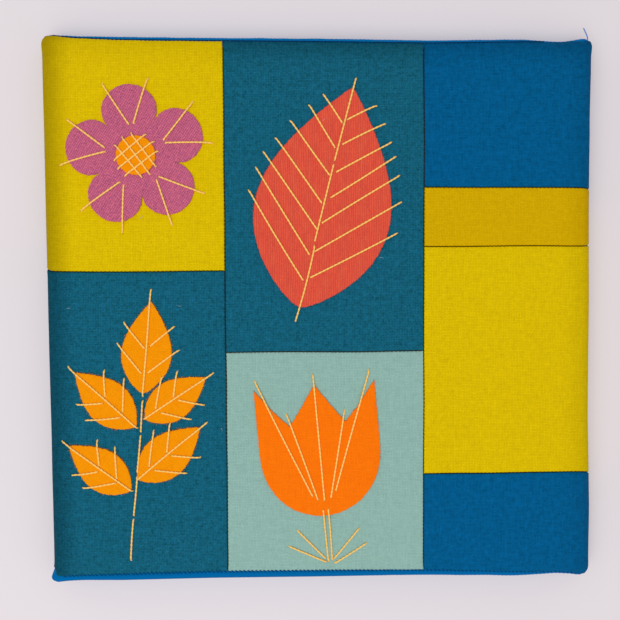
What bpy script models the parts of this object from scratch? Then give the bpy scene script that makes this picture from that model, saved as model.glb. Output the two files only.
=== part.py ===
"""Textile art panel: a padded square panel in plain wool patches with cut cloth motifs.

Run with blender --background --python part.py, or from Blender's text editor.

The frame is in metres with +Z up. The origin is the middle of the flat back, +Y points
to the panel's top edge and +Z out of its face, so the panel lies on its back.

A blue backing cloth covers the back and the top and bottom sides of the padded board,
and the patchwork covers the face and wraps round the left and right sides. The two are
slip stitched together, so a narrow band of blue shows along the top and bottom edges.
"""

import math
from collections import namedtuple

import bmesh
import bpy
from mathutils import Matrix, Vector

MM = 0.001
TOUCH = 1e-6

# Overall size, over the cloth
PANEL_WIDTH = 300 * MM
PANEL_HEIGHT = 298 * MM
PANEL_DEPTH = 22 * MM

# Cloth
GAP = 0.3 * MM
PATCH_THICKNESS = 1.2 * MM
MOTIF_THICKNESS = 1.0 * MM
SEAM_GAP = 0.4 * MM

# The padded board in its blue cloth, which the patches lie on
BOARD_HALF_WIDTH = PANEL_WIDTH / 2 - GAP - PATCH_THICKNESS
BOARD_HALF_HEIGHT = PANEL_HEIGHT / 2
BOARD_DEPTH = PANEL_DEPTH - GAP - PATCH_THICKNESS
FRONT_RADIUS = 5 * MM
BACK_RADIUS = 2.5 * MM
ROUND_STEPS = 6
BACK_STEPS = 3

# Where the flat of the face ends and the rounded edge begins
FLAT_X = BOARD_HALF_WIDTH - FRONT_RADIUS
FLAT_Y = BOARD_HALF_HEIGHT - FRONT_RADIUS
EDGE_CENTRE_Z = BOARD_DEPTH - FRONT_RADIUS

# The side flap of a patch ends just above the rounded back edge
FLAP_END_Z = BACK_RADIUS + 0.4 * MM
FLAP_LENGTH = EDGE_CENTRE_Z - FLAP_END_Z
TUCK_STEPS = 3

# The hand-made outline. A row gives a place along an edge, from the panel's middle, with
# how far the four edges swell outwards there, and the width of the blue band that shows
# beyond the patches at the top and the bottom. All are in millimetres. Top and bottom
# run from left to right, and the two sides from bottom to top.
EdgeRow = namedtuple("EdgeRow", "place top bottom left right band_top band_bottom")
EDGE_ROWS = (
    EdgeRow(-150, 0.9, 1.0, -0.4, 0.2, 0.0, 3.2),
    EdgeRow(-146, 1.3, 1.3, -0.1, 0.6, 0.2, 3.6),
    EdgeRow(-141, 1.0, 0.4, -0.9, 0.9, 0.6, 4.0),
    EdgeRow(-132, 0.4, 0.3, -1.0, 1.1, 1.6, 4.3),
    EdgeRow(-110, 0.1, 0.7, -0.8, 1.2, 2.0, 4.5),
    EdgeRow(-60, -0.2, 0.4, -0.5, 0.3, 2.2, 4.5),
    EdgeRow(0, -0.5, 0.3, -0.3, 0.0, 2.4, 4.2),
    EdgeRow(60, -1.0, 0.3, -0.1, -0.4, 2.4, 3.6),
    EdgeRow(110, -0.5, 1.2, 0.2, -0.2, 2.0, 2.2),
    EdgeRow(132, -1.2, 0.2, 0.4, 0.2, 0.6, 0.7),
    EdgeRow(141, 0.0, 0.5, 0.6, 0.2, 1.2, 0.3),
    EdgeRow(146, 0.6, 0.9, 1.0, 0.7, 0.8, 0.2),
    EdgeRow(150, 0.5, 0.8, 0.9, 0.5, 0.4, 0.2),
)
SWELL_REACH = 20 * MM

# The wadding thins towards the edges: how far the face has dropped at a distance from
# the panel's middle
DomeRow = namedtuple("DomeRow", "place drop")
DOME_ROWS = (
    DomeRow(60, 0.0), DomeRow(110, 0.1), DomeRow(132, 0.8), DomeRow(141, 1.7), DomeRow(144, 2.1)
)

# Straight cuts across the face, where the tables' rows bend it
BENDS = tuple(row.place * MM for row in EDGE_ROWS if abs(row.place) <= 141)

# The patchwork: three upright bars of plain patches. A row gives a patch's four seams in
# millimetres from the panel's middle, and None stands for an outer edge.
PatchRow = namedtuple("PatchRow", "name cloth left right low high")
BAR_LEFT, BAR_RIGHT = -52, 56
PATCH_ROWS = (
    PatchRow("patch_yellow_top_left", "yellow_wool", None, BAR_LEFT, 22, None),
    PatchRow("patch_teal_low_left", "teal_wool", None, BAR_LEFT, None, 22),
    PatchRow("patch_teal_top_middle", "teal_wool", BAR_LEFT, BAR_RIGHT, -22, None),
    PatchRow("patch_sage_low_middle", "sage_wool", BAR_LEFT, BAR_RIGHT, None, -22),
    PatchRow("patch_blue_top_right", "blue_wool", BAR_RIGHT, None, 67, None),
    PatchRow("patch_mustard_strip", "mustard_wool", BAR_RIGHT, None, 35, 67),
    PatchRow("patch_yellow_right", "yellow_wool", BAR_RIGHT, None, -90, 35),
    PatchRow("patch_blue_low_right", "blue_wool", BAR_RIGHT, None, None, -90),
)

# Motifs, each with its middle and its turn anticlockwise from upright
FLOWER_CENTRE = Vector((-99 * MM, 84 * MM))
FLOWER_RADIUS = 38 * MM
FLOWER_PETALS = 5
FLOWER_NOTCH = 0.56
PETAL_BLUNTNESS = 0.55
FLOWER_TURN = math.radians(8)
FLOWER_EYE_RADIUS = 10.5 * MM

LEAF_FOOT = Vector((-12 * MM, 2 * MM))
LEAF_LENGTH = 122 * MM
LEAF_HALF_WIDTH = 37 * MM
LEAF_TURN = math.radians(-14)

# A leaf's outline is a sine bow: a lean under 1 sets its fullest place below the middle,
# and a fullness under 1 rounds its shoulders
LEAF_LEAN = 0.82
LEAF_FULLNESS = 0.92

TULIP_FOOT = Vector((2 * MM, -112 * MM))
TULIP_HEIGHT = 72 * MM
TULIP_HALF_WIDTH = 33 * MM
TULIP_TURN = math.radians(5)
TULIP_BOWL_SHARE = 0.52
TULIP_BOWL_FULLNESS = 0.9

# The right half of the tulip's rim, from its outer point to its middle one, in shares of
# the cup's half width and of its height
RimRow = namedtuple("RimRow", "across up")
TULIP_RIM = (
    RimRow(1.0, 1.0),
    RimRow(0.72, 0.83),
    RimRow(0.46, 0.70),
    RimRow(0.26, 0.83),
    RimRow(0.0, 1.0),
)

# The sprig: a row for each leaflet, with its foot on the stem, its length and its turn
LeafletRow = namedtuple("LeafletRow", "name foot_x foot_y length turn")
LEAFLET_ROWS = (
    LeafletRow("leaflet_tip", -97, -44, 50, -6),
    LeafletRow("leaflet_upper_left", -101, -62, 44, 48),
    LeafletRow("leaflet_upper_right", -96, -58, 40, -56),
    LeafletRow("leaflet_lower_left", -104, -97, 42, 54),
    LeafletRow("leaflet_lower_right", -100, -91, 44, -50),
)
LEAFLET_SLIMNESS = 0.27

# Base colour and roughness of each cloth
CLOTHS = {
    "backing_blue": ((0.005, 0.13, 0.36), 0.85),
    "teal_wool": ((0.010, 0.11, 0.16), 0.95),
    "blue_wool": ((0.003, 0.10, 0.25), 0.92),
    "yellow_wool": ((0.66, 0.47, 0.005), 0.92),
    "mustard_wool": ((0.60, 0.37, 0.004), 0.92),
    "sage_wool": ((0.26, 0.45, 0.38), 0.92),
    "coral_wool": ((0.68, 0.085, 0.048), 0.95),
    "plum_wool": ((0.48, 0.10, 0.19), 0.95),
    "orange_wool": ((0.90, 0.17, 0.006), 0.95),
    "amber_wool": ((0.86, 0.29, 0.005), 0.95),
}


def clear_scene():
    """Removes the startup scene's objects."""
    for obj in list(bpy.data.objects):
        bpy.data.objects.remove(obj)


def read_table(rows, column, place):
    """The column's value at a place, in straight lines between the rows, in metres."""
    place = place / MM
    if place <= rows[0].place:
        return getattr(rows[0], column) * MM
    for before, after in zip(rows, rows[1:]):
        if place <= after.place:
            share = (place - before.place) / (after.place - before.place)
            start, end = getattr(before, column), getattr(after, column)
            return (start + share * (end - start)) * MM
    return getattr(rows[-1], column) * MM


def swell_weight(place, half_size):
    """1 at an outer edge, falling to 0 at SWELL_REACH inside it."""
    return min(1.0, max(0.0, (place - half_size + SWELL_REACH) / SWELL_REACH))


def settle(point):
    """Moves a point of the plain padded block to where it lies on the hand-made panel."""
    x, y, z = point
    side = "right" if x > 0 else "left"
    end = "top" if y > 0 else "bottom"
    out_x = read_table(EDGE_ROWS, side, y) * swell_weight(abs(x), BOARD_HALF_WIDTH)
    out_y = read_table(EDGE_ROWS, end, x) * swell_weight(abs(y), BOARD_HALF_HEIGHT)
    drop = read_table(DOME_ROWS, "drop", abs(x)) + read_table(DOME_ROWS, "drop", abs(y))
    height_share = min(1.0, z / BOARD_DEPTH)
    return Vector(
        (
            x + math.copysign(out_x, x),
            y + math.copysign(out_y, y),
            z - drop * height_share,
        )
    )


def make_material(name):
    """A plain cloth material with its colour and roughness."""
    colour, roughness = CLOTHS[name]
    material = bpy.data.materials.new(name)
    material.use_nodes = True
    shader = material.node_tree.nodes["Principled BSDF"]
    shader.inputs["Base Color"].default_value = (*colour, 1.0)
    shader.inputs["Roughness"].default_value = roughness
    shader.inputs["Metallic"].default_value = 0.0
    return material


def add_object(name, mesh, material, collection):
    """Links a mesh to the panel's collection as one named piece."""
    obj = bpy.data.objects.new(name, mesh)
    obj.data.materials.append(material)
    collection.objects.link(obj)
    return obj


def cut_across(bm, places_x, places_y):
    """Cuts a closed mesh along the upright and level lines where the tables bend it."""
    for axis, places in ((Vector((1, 0, 0)), places_x), (Vector((0, 1, 0)), places_y)):
        for place in places:
            bmesh.ops.bisect_plane(
                bm,
                geom=bm.verts[:] + bm.edges[:] + bm.faces[:],
                dist=TOUCH,
                plane_co=axis * place,
                plane_no=axis,
            )


def make_backing(material, collection):
    """The padded board in its blue cloth: one filled solid with rounded edges."""
    bm = bmesh.new()
    bmesh.ops.create_cube(bm, size=1.0)
    size = (2 * BOARD_HALF_WIDTH, 2 * BOARD_HALF_HEIGHT, BOARD_DEPTH)
    bmesh.ops.scale(bm, vec=size, verts=bm.verts)
    bmesh.ops.translate(bm, vec=(0, 0, BOARD_DEPTH / 2), verts=bm.verts)
    not_back = [e for e in bm.edges if max(v.co.z for v in e.verts) > BOARD_DEPTH / 2]
    bmesh.ops.bevel(
        bm,
        geom=not_back,
        offset=FRONT_RADIUS,
        segments=ROUND_STEPS,
        profile=0.5,
        affect="EDGES",
        material=-1,
    )
    back = [e for e in bm.edges if max(v.co.z for v in e.verts) < TOUCH]
    bmesh.ops.bevel(
        bm,
        geom=back,
        offset=BACK_RADIUS,
        segments=BACK_STEPS,
        profile=0.5,
        affect="EDGES",
        material=-1,
    )
    cut_across(bm, BENDS, BENDS)
    for vert in bm.verts:
        vert.co = settle(vert.co)
    bmesh.ops.recalc_face_normals(bm, faces=bm.faces)
    mesh = bpy.data.meshes.new("backing")
    bm.to_mesh(mesh)
    bm.free()
    mesh.shade_smooth()
    mesh.set_sharp_from_angle(angle=math.radians(40))
    return add_object("backing", mesh, material, collection)


def band_angle(edge, x):
    """How far round the top or bottom edge the patchwork reaches, from the band's width."""
    band = read_table(EDGE_ROWS, "band_" + edge, x)
    outer_radius = FRONT_RADIUS + GAP + PATCH_THICKNESS
    return math.asin((FRONT_RADIUS - band) / outer_radius)


# A line across a patch: where it lies on the flat, how far round a side edge it has
# turned, how far down the side it is, and its share of the turn over the top or bottom.
Line = namedtuple("Line", "flat turn down tuck")


def flat_lines(low, high):
    """Lines on the flat of the face between two places, at each bend and at both ends."""
    inner = [place for place in BENDS if low + SEAM_GAP < place < high - SEAM_GAP]
    return [Line(place, 0.0, 0.0, 0.0) for place in (low, *inner, high)]


def side_lines(direction):
    """Lines from the flat round the side edge and down the side, outwards."""
    turns = [math.pi / 2 * step / ROUND_STEPS for step in range(1, ROUND_STEPS + 1)]
    lines = [Line(direction * FLAT_X, direction * turn, 0.0, 0.0) for turn in turns]
    foot = Line(direction * FLAT_X, direction * math.pi / 2, FLAP_LENGTH, 0.0)
    return lines + [foot]


def lines_across(row):
    """All upright lines of a patch, from left to right."""
    low = -FLAT_X if row.left is None else row.left * MM + SEAM_GAP / 2
    high = FLAT_X if row.right is None else row.right * MM - SEAM_GAP / 2
    lines = flat_lines(low, high)
    if row.left is None:
        lines = side_lines(-1)[::-1] + lines
    if row.right is None:
        lines = lines + side_lines(1)
    return lines


def lines_up(row):
    """All level lines of a patch, from bottom to top."""
    low = -FLAT_Y if row.low is None else row.low * MM + SEAM_GAP / 2
    high = FLAT_Y if row.high is None else row.high * MM - SEAM_GAP / 2
    lines = flat_lines(low, high)
    shares = [step / TUCK_STEPS for step in range(1, TUCK_STEPS + 1)]
    if row.low is None:
        lines = [Line(-FLAT_Y, 0.0, 0.0, -share) for share in shares[::-1]] + lines
    if row.high is None:
        lines = lines + [Line(FLAT_Y, 0.0, 0.0, share) for share in shares]
    return lines


def patch_point(across, up, lift):
    """The point of a patch where two of its lines cross, lifted off the board."""
    edge = "top" if up.tuck > 0 else "bottom"
    tuck = up.tuck * band_angle(edge, across.flat)
    normal = Vector(
        (
            math.sin(across.turn) * math.cos(tuck),
            math.sin(tuck),
            math.cos(across.turn) * math.cos(tuck),
        )
    )
    core = Vector((across.flat, up.flat, EDGE_CENTRE_Z - across.down))
    return settle(core + (FRONT_RADIUS + lift) * normal)


def make_patch(row, material, collection):
    """One plain patch: a grid laid over the board, thickened into a sheet of cloth."""
    across, up = lines_across(row), lines_up(row)
    bm = bmesh.new()
    bmesh.ops.create_grid(
        bm, x_segments=len(across) - 1, y_segments=len(up) - 1, size=1.0
    )
    for vert in bm.verts:
        column = round((vert.co.x + 1) / 2 * (len(across) - 1))
        level = round((vert.co.y + 1) / 2 * (len(up) - 1))
        vert.co = patch_point(across[column], up[level], GAP)
    mesh = bpy.data.meshes.new(row.name)
    bm.to_mesh(mesh)
    bm.free()
    mesh.shade_smooth()
    obj = add_object(row.name, mesh, material, collection)
    solidify = obj.modifiers.new("cloth thickness", "SOLIDIFY")
    solidify.thickness = PATCH_THICKNESS
    solidify.offset = 1.0
    solidify.use_even_offset = True
    return obj


def leaf_outline(length, half_width, steps=18):
    """A pointed leaf, standing on its foot, fullest a little below its middle."""
    side = []
    for step in range(steps + 1):
        share = step / steps
        bow = max(0.0, math.sin(math.pi * share**LEAF_LEAN))
        width = half_width * bow**LEAF_FULLNESS
        side.append(Vector((width, share * length)))
    other = [Vector((-point.x, point.y)) for point in side[-2:0:-1]]
    return side + other


def flower_outline(radius, petals, notch, steps=12):
    """A flower of round petals: notch is the radius between two petals, as a share."""
    outline = []
    for step in range(petals * steps):
        angle = 2 * math.pi * step / (petals * steps)
        swell = abs(math.cos(petals * angle / 2)) ** PETAL_BLUNTNESS
        reach = radius * (notch + (1 - notch) * swell)
        outline.append(Vector((-reach * math.sin(angle), reach * math.cos(angle))))
    return outline


def disc_outline(radius, steps=24):
    """A round piece."""
    turns = [2 * math.pi * step / steps for step in range(steps)]
    return [Vector((radius * math.cos(turn), radius * math.sin(turn))) for turn in turns]


def tulip_outline(height, half_width, steps=12):
    """A tulip's cup: a round bowl under three points, standing on its foot."""
    bowl = TULIP_BOWL_SHARE * height
    outline = []
    for step in range(steps + 1):
        turn = math.pi * step / steps
        depth = max(0.0, math.sin(turn)) ** TULIP_BOWL_FULLNESS
        outline.append(Vector((-half_width * math.cos(turn), bowl * (1 - depth))))
    for row in TULIP_RIM:
        outline.append(Vector((row.across * half_width, row.up * height)))
    for row in TULIP_RIM[-2::-1]:
        outline.append(Vector((-row.across * half_width, row.up * height)))
    return outline


def place_outline(outline, origin, turn):
    """Turns an outline about its own origin and moves it onto the panel's face."""
    spin = Matrix.Rotation(turn, 2)
    return [origin + spin @ point for point in outline]


def make_motif(name, outline, layer, material, collection):
    """A flat piece of cloth, cut to an outline and laid on the face or on another piece."""
    curve = bpy.data.curves.new(name, "CURVE")
    curve.dimensions = "2D"
    curve.fill_mode = "BOTH"
    curve.extrude = MOTIF_THICKNESS / 2
    spline = curve.splines.new("POLY")
    spline.points.add(len(outline) - 1)
    for point, place in zip(spline.points, outline):
        point.co = (place.x, place.y, 0.0, 1.0)
    spline.use_cyclic_u = True
    cut_piece = bpy.data.objects.new(name + "_outline", curve)
    collection.objects.link(cut_piece)
    graph = bpy.context.evaluated_depsgraph_get()
    mesh = bpy.data.meshes.new_from_object(cut_piece.evaluated_get(graph))
    bpy.data.objects.remove(cut_piece)

    bm = bmesh.new()
    bm.from_mesh(mesh)
    bmesh.ops.remove_doubles(bm, verts=bm.verts, dist=TOUCH)
    cut_across(bm, BENDS, BENDS)
    lift = PANEL_DEPTH + GAP + MOTIF_THICKNESS / 2 + layer * (MOTIF_THICKNESS + GAP)
    for vert in bm.verts:
        vert.co = settle(vert.co + Vector((0, 0, lift)))
    bmesh.ops.recalc_face_normals(bm, faces=bm.faces)
    bm.to_mesh(mesh)
    bm.free()
    mesh.name = name
    mesh.materials.clear()
    return add_object(name, mesh, material, collection)


def make_motifs(materials, collection):
    """The flower and its eye, the broad leaf, the tulip and the sprig's leaflets."""
    flower = flower_outline(FLOWER_RADIUS, FLOWER_PETALS, FLOWER_NOTCH)
    flower = place_outline(flower, FLOWER_CENTRE, FLOWER_TURN)
    make_motif("flower", flower, 0, materials["plum_wool"], collection)

    eye = place_outline(disc_outline(FLOWER_EYE_RADIUS), FLOWER_CENTRE, 0.0)
    make_motif("flower_eye", eye, 1, materials["amber_wool"], collection)

    leaf = leaf_outline(LEAF_LENGTH, LEAF_HALF_WIDTH)
    leaf = place_outline(leaf, LEAF_FOOT, LEAF_TURN)
    make_motif("broad_leaf", leaf, 0, materials["coral_wool"], collection)

    tulip = tulip_outline(TULIP_HEIGHT, TULIP_HALF_WIDTH)
    tulip = place_outline(tulip, TULIP_FOOT, TULIP_TURN)
    make_motif("tulip", tulip, 0, materials["orange_wool"], collection)

    for row in LEAFLET_ROWS:
        length = row.length * MM
        leaflet = leaf_outline(length, length * LEAFLET_SLIMNESS, steps=12)
        foot = Vector((row.foot_x * MM, row.foot_y * MM))
        leaflet = place_outline(leaflet, foot, math.radians(row.turn))
        make_motif(row.name, leaflet, 0, materials["amber_wool"], collection)


def main():
    """Builds the panel, piece by piece."""
    clear_scene()
    collection = bpy.data.collections.new("textile art panel")
    bpy.context.scene.collection.children.link(collection)
    materials = {name: make_material(name) for name in CLOTHS}
    make_backing(materials["backing_blue"], collection)
    for row in PATCH_ROWS:
        make_patch(row, materials[row.cloth], collection)
    make_motifs(materials, collection)


main()
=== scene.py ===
"""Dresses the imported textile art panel: patched wool cloth, cut motifs and hand stitches.

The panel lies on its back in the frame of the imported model: metres, +Z out of its face,
+Y to its top edge and +X to its right edge. Cloth is laid out flat first, with a place
on it given by its distance along the cloth from the middle of the face, to the right and
upwards. PanelForm then wraps it over the padded board.
"""

import logging
import math
import random
from collections.abc import Iterable, Sequence
from dataclasses import dataclass, field
from enum import Enum

import bmesh
import bpy
import numpy as np
from mathutils import Matrix, Vector, noise
from mathutils.bvhtree import BVHTree


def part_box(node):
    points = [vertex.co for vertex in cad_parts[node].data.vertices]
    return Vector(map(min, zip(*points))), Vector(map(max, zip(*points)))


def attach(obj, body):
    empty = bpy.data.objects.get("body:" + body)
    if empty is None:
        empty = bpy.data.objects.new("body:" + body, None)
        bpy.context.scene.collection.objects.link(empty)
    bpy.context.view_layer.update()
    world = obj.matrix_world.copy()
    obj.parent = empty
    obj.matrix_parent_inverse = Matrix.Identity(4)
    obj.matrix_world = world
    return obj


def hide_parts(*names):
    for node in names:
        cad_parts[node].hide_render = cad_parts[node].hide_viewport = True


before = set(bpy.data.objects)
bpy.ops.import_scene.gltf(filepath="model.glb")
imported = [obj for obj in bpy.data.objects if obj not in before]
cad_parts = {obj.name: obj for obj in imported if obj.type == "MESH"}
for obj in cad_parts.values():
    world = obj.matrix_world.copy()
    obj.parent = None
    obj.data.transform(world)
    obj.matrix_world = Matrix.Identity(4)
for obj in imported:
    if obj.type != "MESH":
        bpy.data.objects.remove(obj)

logging.basicConfig(level=logging.INFO, format="%(message)s")
LOG = logging.getLogger("textile_art_panel")

Material = bpy.types.Material
Mesh = bpy.types.Mesh
Piece = bpy.types.Object
Socket = bpy.types.NodeSocket
Tree = bpy.types.NodeTree
# The two needle holes of a long stitch
Stitch = tuple[Vector, Vector]

MM = 0.001
TOUCH = 1e-6
BODY = "root"
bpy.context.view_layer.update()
CLOTH_UV = "cloth"

# One hand or machine stitch of the seams and hems
STITCH_PITCH = 2.2 * MM
# How far a seam strays slowly along it, at each stitch, and where it meets a hem
SEAM_WAVE = 0.45 * MM
SEAM_TOOTH = 0.10 * MM
SEAM_FLARE = 0.8 * MM
# The length of a seam's slow stray, and how near a hem it flares
SEAM_WAVE_SIZE = 45 * MM
SEAM_FLARE_REACH = 4 * MM
# Where the cloth turns away at the board's edges, and how wide its painted shade there is
EDGE_PLACE = 149 * MM
EDGE_REACH = 18 * MM
# Painted shade at the left, right, top and bottom edges, lit from the lower left
DARK_CLOTH_PAINTED_SHADES = (0.44, 0.14, 0.34, 0.0)
BLUE_CLOTH_PAINTED_SHADES = (0.44, 0.14, 0.22, 0.0)
BRIGHT_CLOTH_PAINTED_SHADES = (0.44, 0.14, 0.10, 0.0)
# Half the width and height of the backing that the patches hide, where it gets painted seam shade,
# and its lowest height
SEAM_SHADE_HALF_X = 146 * MM
SEAM_SHADE_HALF_Y = 142.5 * MM
SEAM_SHADE_LOW_Z = 12 * MM
# A weave's mean height from 0 to 1, and how far its threads wander, in threads, over
# what size
MEAN_COVER = 0.62
THREAD_DRIFT = 1.2
DRIFT_SIZE = 14 * MM
# Steps in noise from one thread to the next, and along a thread for each one crossed
SLUB_STEP = 7.31
SLUB_RUN = 0.11


# Helpers


def linear(hex_colour: str) -> tuple[float, float, float, float]:
    """Turns an sRGB hex colour to linear light, with an alpha of 1.

    Args:
        hex_colour: the colour, such as #E0DADD.

    Returns:
        Red, green, blue and alpha, from 0 to 1.
    """
    parts = [int(hex_colour[i : i + 2], 16) / 255 for i in (1, 3, 5)]
    light = [p / 12.92 if p <= 0.04045 else ((p + 0.055) / 1.055) ** 2.4 for p in parts]
    return (light[0], light[1], light[2], 1.0)


def coarse_noise(xs: np.ndarray, ys: np.ndarray, size: float, seed: float) -> np.ndarray:
    """Smooth noise from about -1 to 1 at each point, with lumps of about that size.

    Args:
        xs: each point's first coordinate, in metres.
        ys: its second one.
        size: the lumps' size, in metres.
        seed: tells one field of noise from another.

    Returns:
        The noise at each point.
    """
    return np.array(
        [noise.noise((x / size, y / size, seed)) for x, y in zip(xs.tolist(), ys.tolist())]
    )


def mesh_of(bm: bmesh.types.BMesh, name: str) -> Mesh:
    """Turns a finished bmesh into a mesh of that name.

    Args:
        bm: the finished bmesh, which is freed.
        name: the mesh's name.

    Returns:
        The mesh.
    """
    mesh = bpy.data.meshes.new(name)
    bm.to_mesh(mesh)
    bm.free()
    return mesh


def points_of(mesh: Mesh) -> np.ndarray:
    """The mesh's points, one a row.

    Args:
        mesh: the mesh.

    Returns:
        Its points, one a row.
    """
    flat = np.zeros(len(mesh.vertices) * 3)
    mesh.vertices.foreach_get("co", flat)
    return flat.reshape(-1, 3)


def corner_points(mesh: Mesh) -> np.ndarray:
    """The number of the point at each corner of the mesh's faces.

    Args:
        mesh: the mesh.

    Returns:
        The numbers, in the order of the mesh's corners.
    """
    corners = np.zeros(len(mesh.loops), dtype=np.int32)
    mesh.loops.foreach_get("vertex_index", corners)
    return corners


def store_uv(mesh: Mesh, uv: np.ndarray) -> None:
    """Keeps the place on the flat cloth, in metres, of each corner of the mesh's faces."""
    mesh.uv_layers.new(name=CLOTH_UV).data.foreach_set("uv", uv.ravel())


def cut_across(bm: bmesh.types.BMesh, axis: Vector, places: Iterable[float]) -> None:
    """Cuts a mesh square to an axis, at each of the places along it.

    Args:
        bm: the mesh to cut.
        axis: the axis that the cuts are square to.
        places: the cuts' distances along it, in metres.
    """
    for place in places:
        bmesh.ops.bisect_plane(
            bm,
            geom=bm.verts[:] + bm.edges[:] + bm.faces[:],
            dist=TOUCH,
            plane_co=axis * place,
            plane_no=axis,
        )


def add_piece(
    name: str,
    mesh: Mesh,
    material: Material,
    replaces: str | None = None,
) -> Piece:
    """Adds a mesh to the scene as one named piece of the panel.

    Args:
        name: the piece's name.
        mesh: its mesh, in the frame's own coordinates.
        material: its finish.
        replaces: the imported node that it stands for.

    Returns:
        The new object, which rides on the panel's one body.
    """
    obj = bpy.data.objects.new(name, mesh)
    bpy.context.scene.collection.objects.link(obj)
    mesh.materials.clear()
    mesh.materials.append(material)
    mesh.shade_smooth()
    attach(obj, BODY)
    if replaces:
        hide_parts(replaces)
    LOG.info("%s: %d faces", name, len(mesh.polygons))
    return obj


def thread_mesh(
    name: str, lines: Iterable[Sequence[Vector]], radius: float, sides_step: int = 0
) -> Mesh:
    """Turns lines of points into one mesh of thin round threads.

    Args:
        name: the mesh's name.
        lines: the points of each thread's middle line.
        radius: the thread's radius.
        sides_step: the curve's bevel resolution, 0 for four sides and 1 for six.

    Returns:
        The mesh, with its ends closed.
    """
    curve = bpy.data.curves.new(name, "CURVE")
    curve.dimensions = "3D"
    curve.bevel_depth = radius
    curve.bevel_resolution = sides_step
    curve.use_fill_caps = True
    for line in lines:
        spline = curve.splines.new("POLY")
        spline.points.add(len(line) - 1)
        spline.points.foreach_set("co", [v for p in line for v in (*p, 1.0)])
    obj = bpy.data.objects.new(name, curve)
    bpy.context.scene.collection.objects.link(obj)
    graph = bpy.context.evaluated_depsgraph_get()
    mesh = bpy.data.meshes.new_from_object(obj.evaluated_get(graph))
    bpy.data.objects.remove(obj)
    bpy.data.curves.remove(curve)
    mesh.name = name
    return mesh


def fill_inputs(tree: Tree, node: bpy.types.Node, inputs: dict) -> None:
    """Sets or links inputs of a node.

    Args:
        tree: the node's tree.
        node: the node.
        inputs: a value or another node's output for each input, by name or number.
    """
    for key, value in inputs.items():
        if isinstance(value, Socket):
            tree.links.new(value, node.inputs[key])
        else:
            node.inputs[key].default_value = value


def add_node(
    tree: Tree, kind: str, inputs: dict | None = None, **settings: object
) -> bpy.types.bpy_prop_collection:
    """Adds a node with its settings, and fills or links its inputs.

    Args:
        tree: the node tree that gets the node.
        kind: the node's type, such as ShaderNodeMath.
        inputs: a value or another node's output for each input, by name or number.
        **settings: the node's own properties.

    Returns:
        The new node's outputs.
    """
    node = tree.nodes.new(kind)
    for name, value in settings.items():
        setattr(node, name, value)
    fill_inputs(tree, node, inputs or {})
    return node.outputs


# Finishes


class Weave(Enum):
    """How warp and weft cross: cells in a repeat, and how many of them show the warp."""

    PLAIN = (2, 1)
    TWILL = (4, 2)
    WARP_TWILL = (4, 3)
    RIB = (1, 1)


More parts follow.
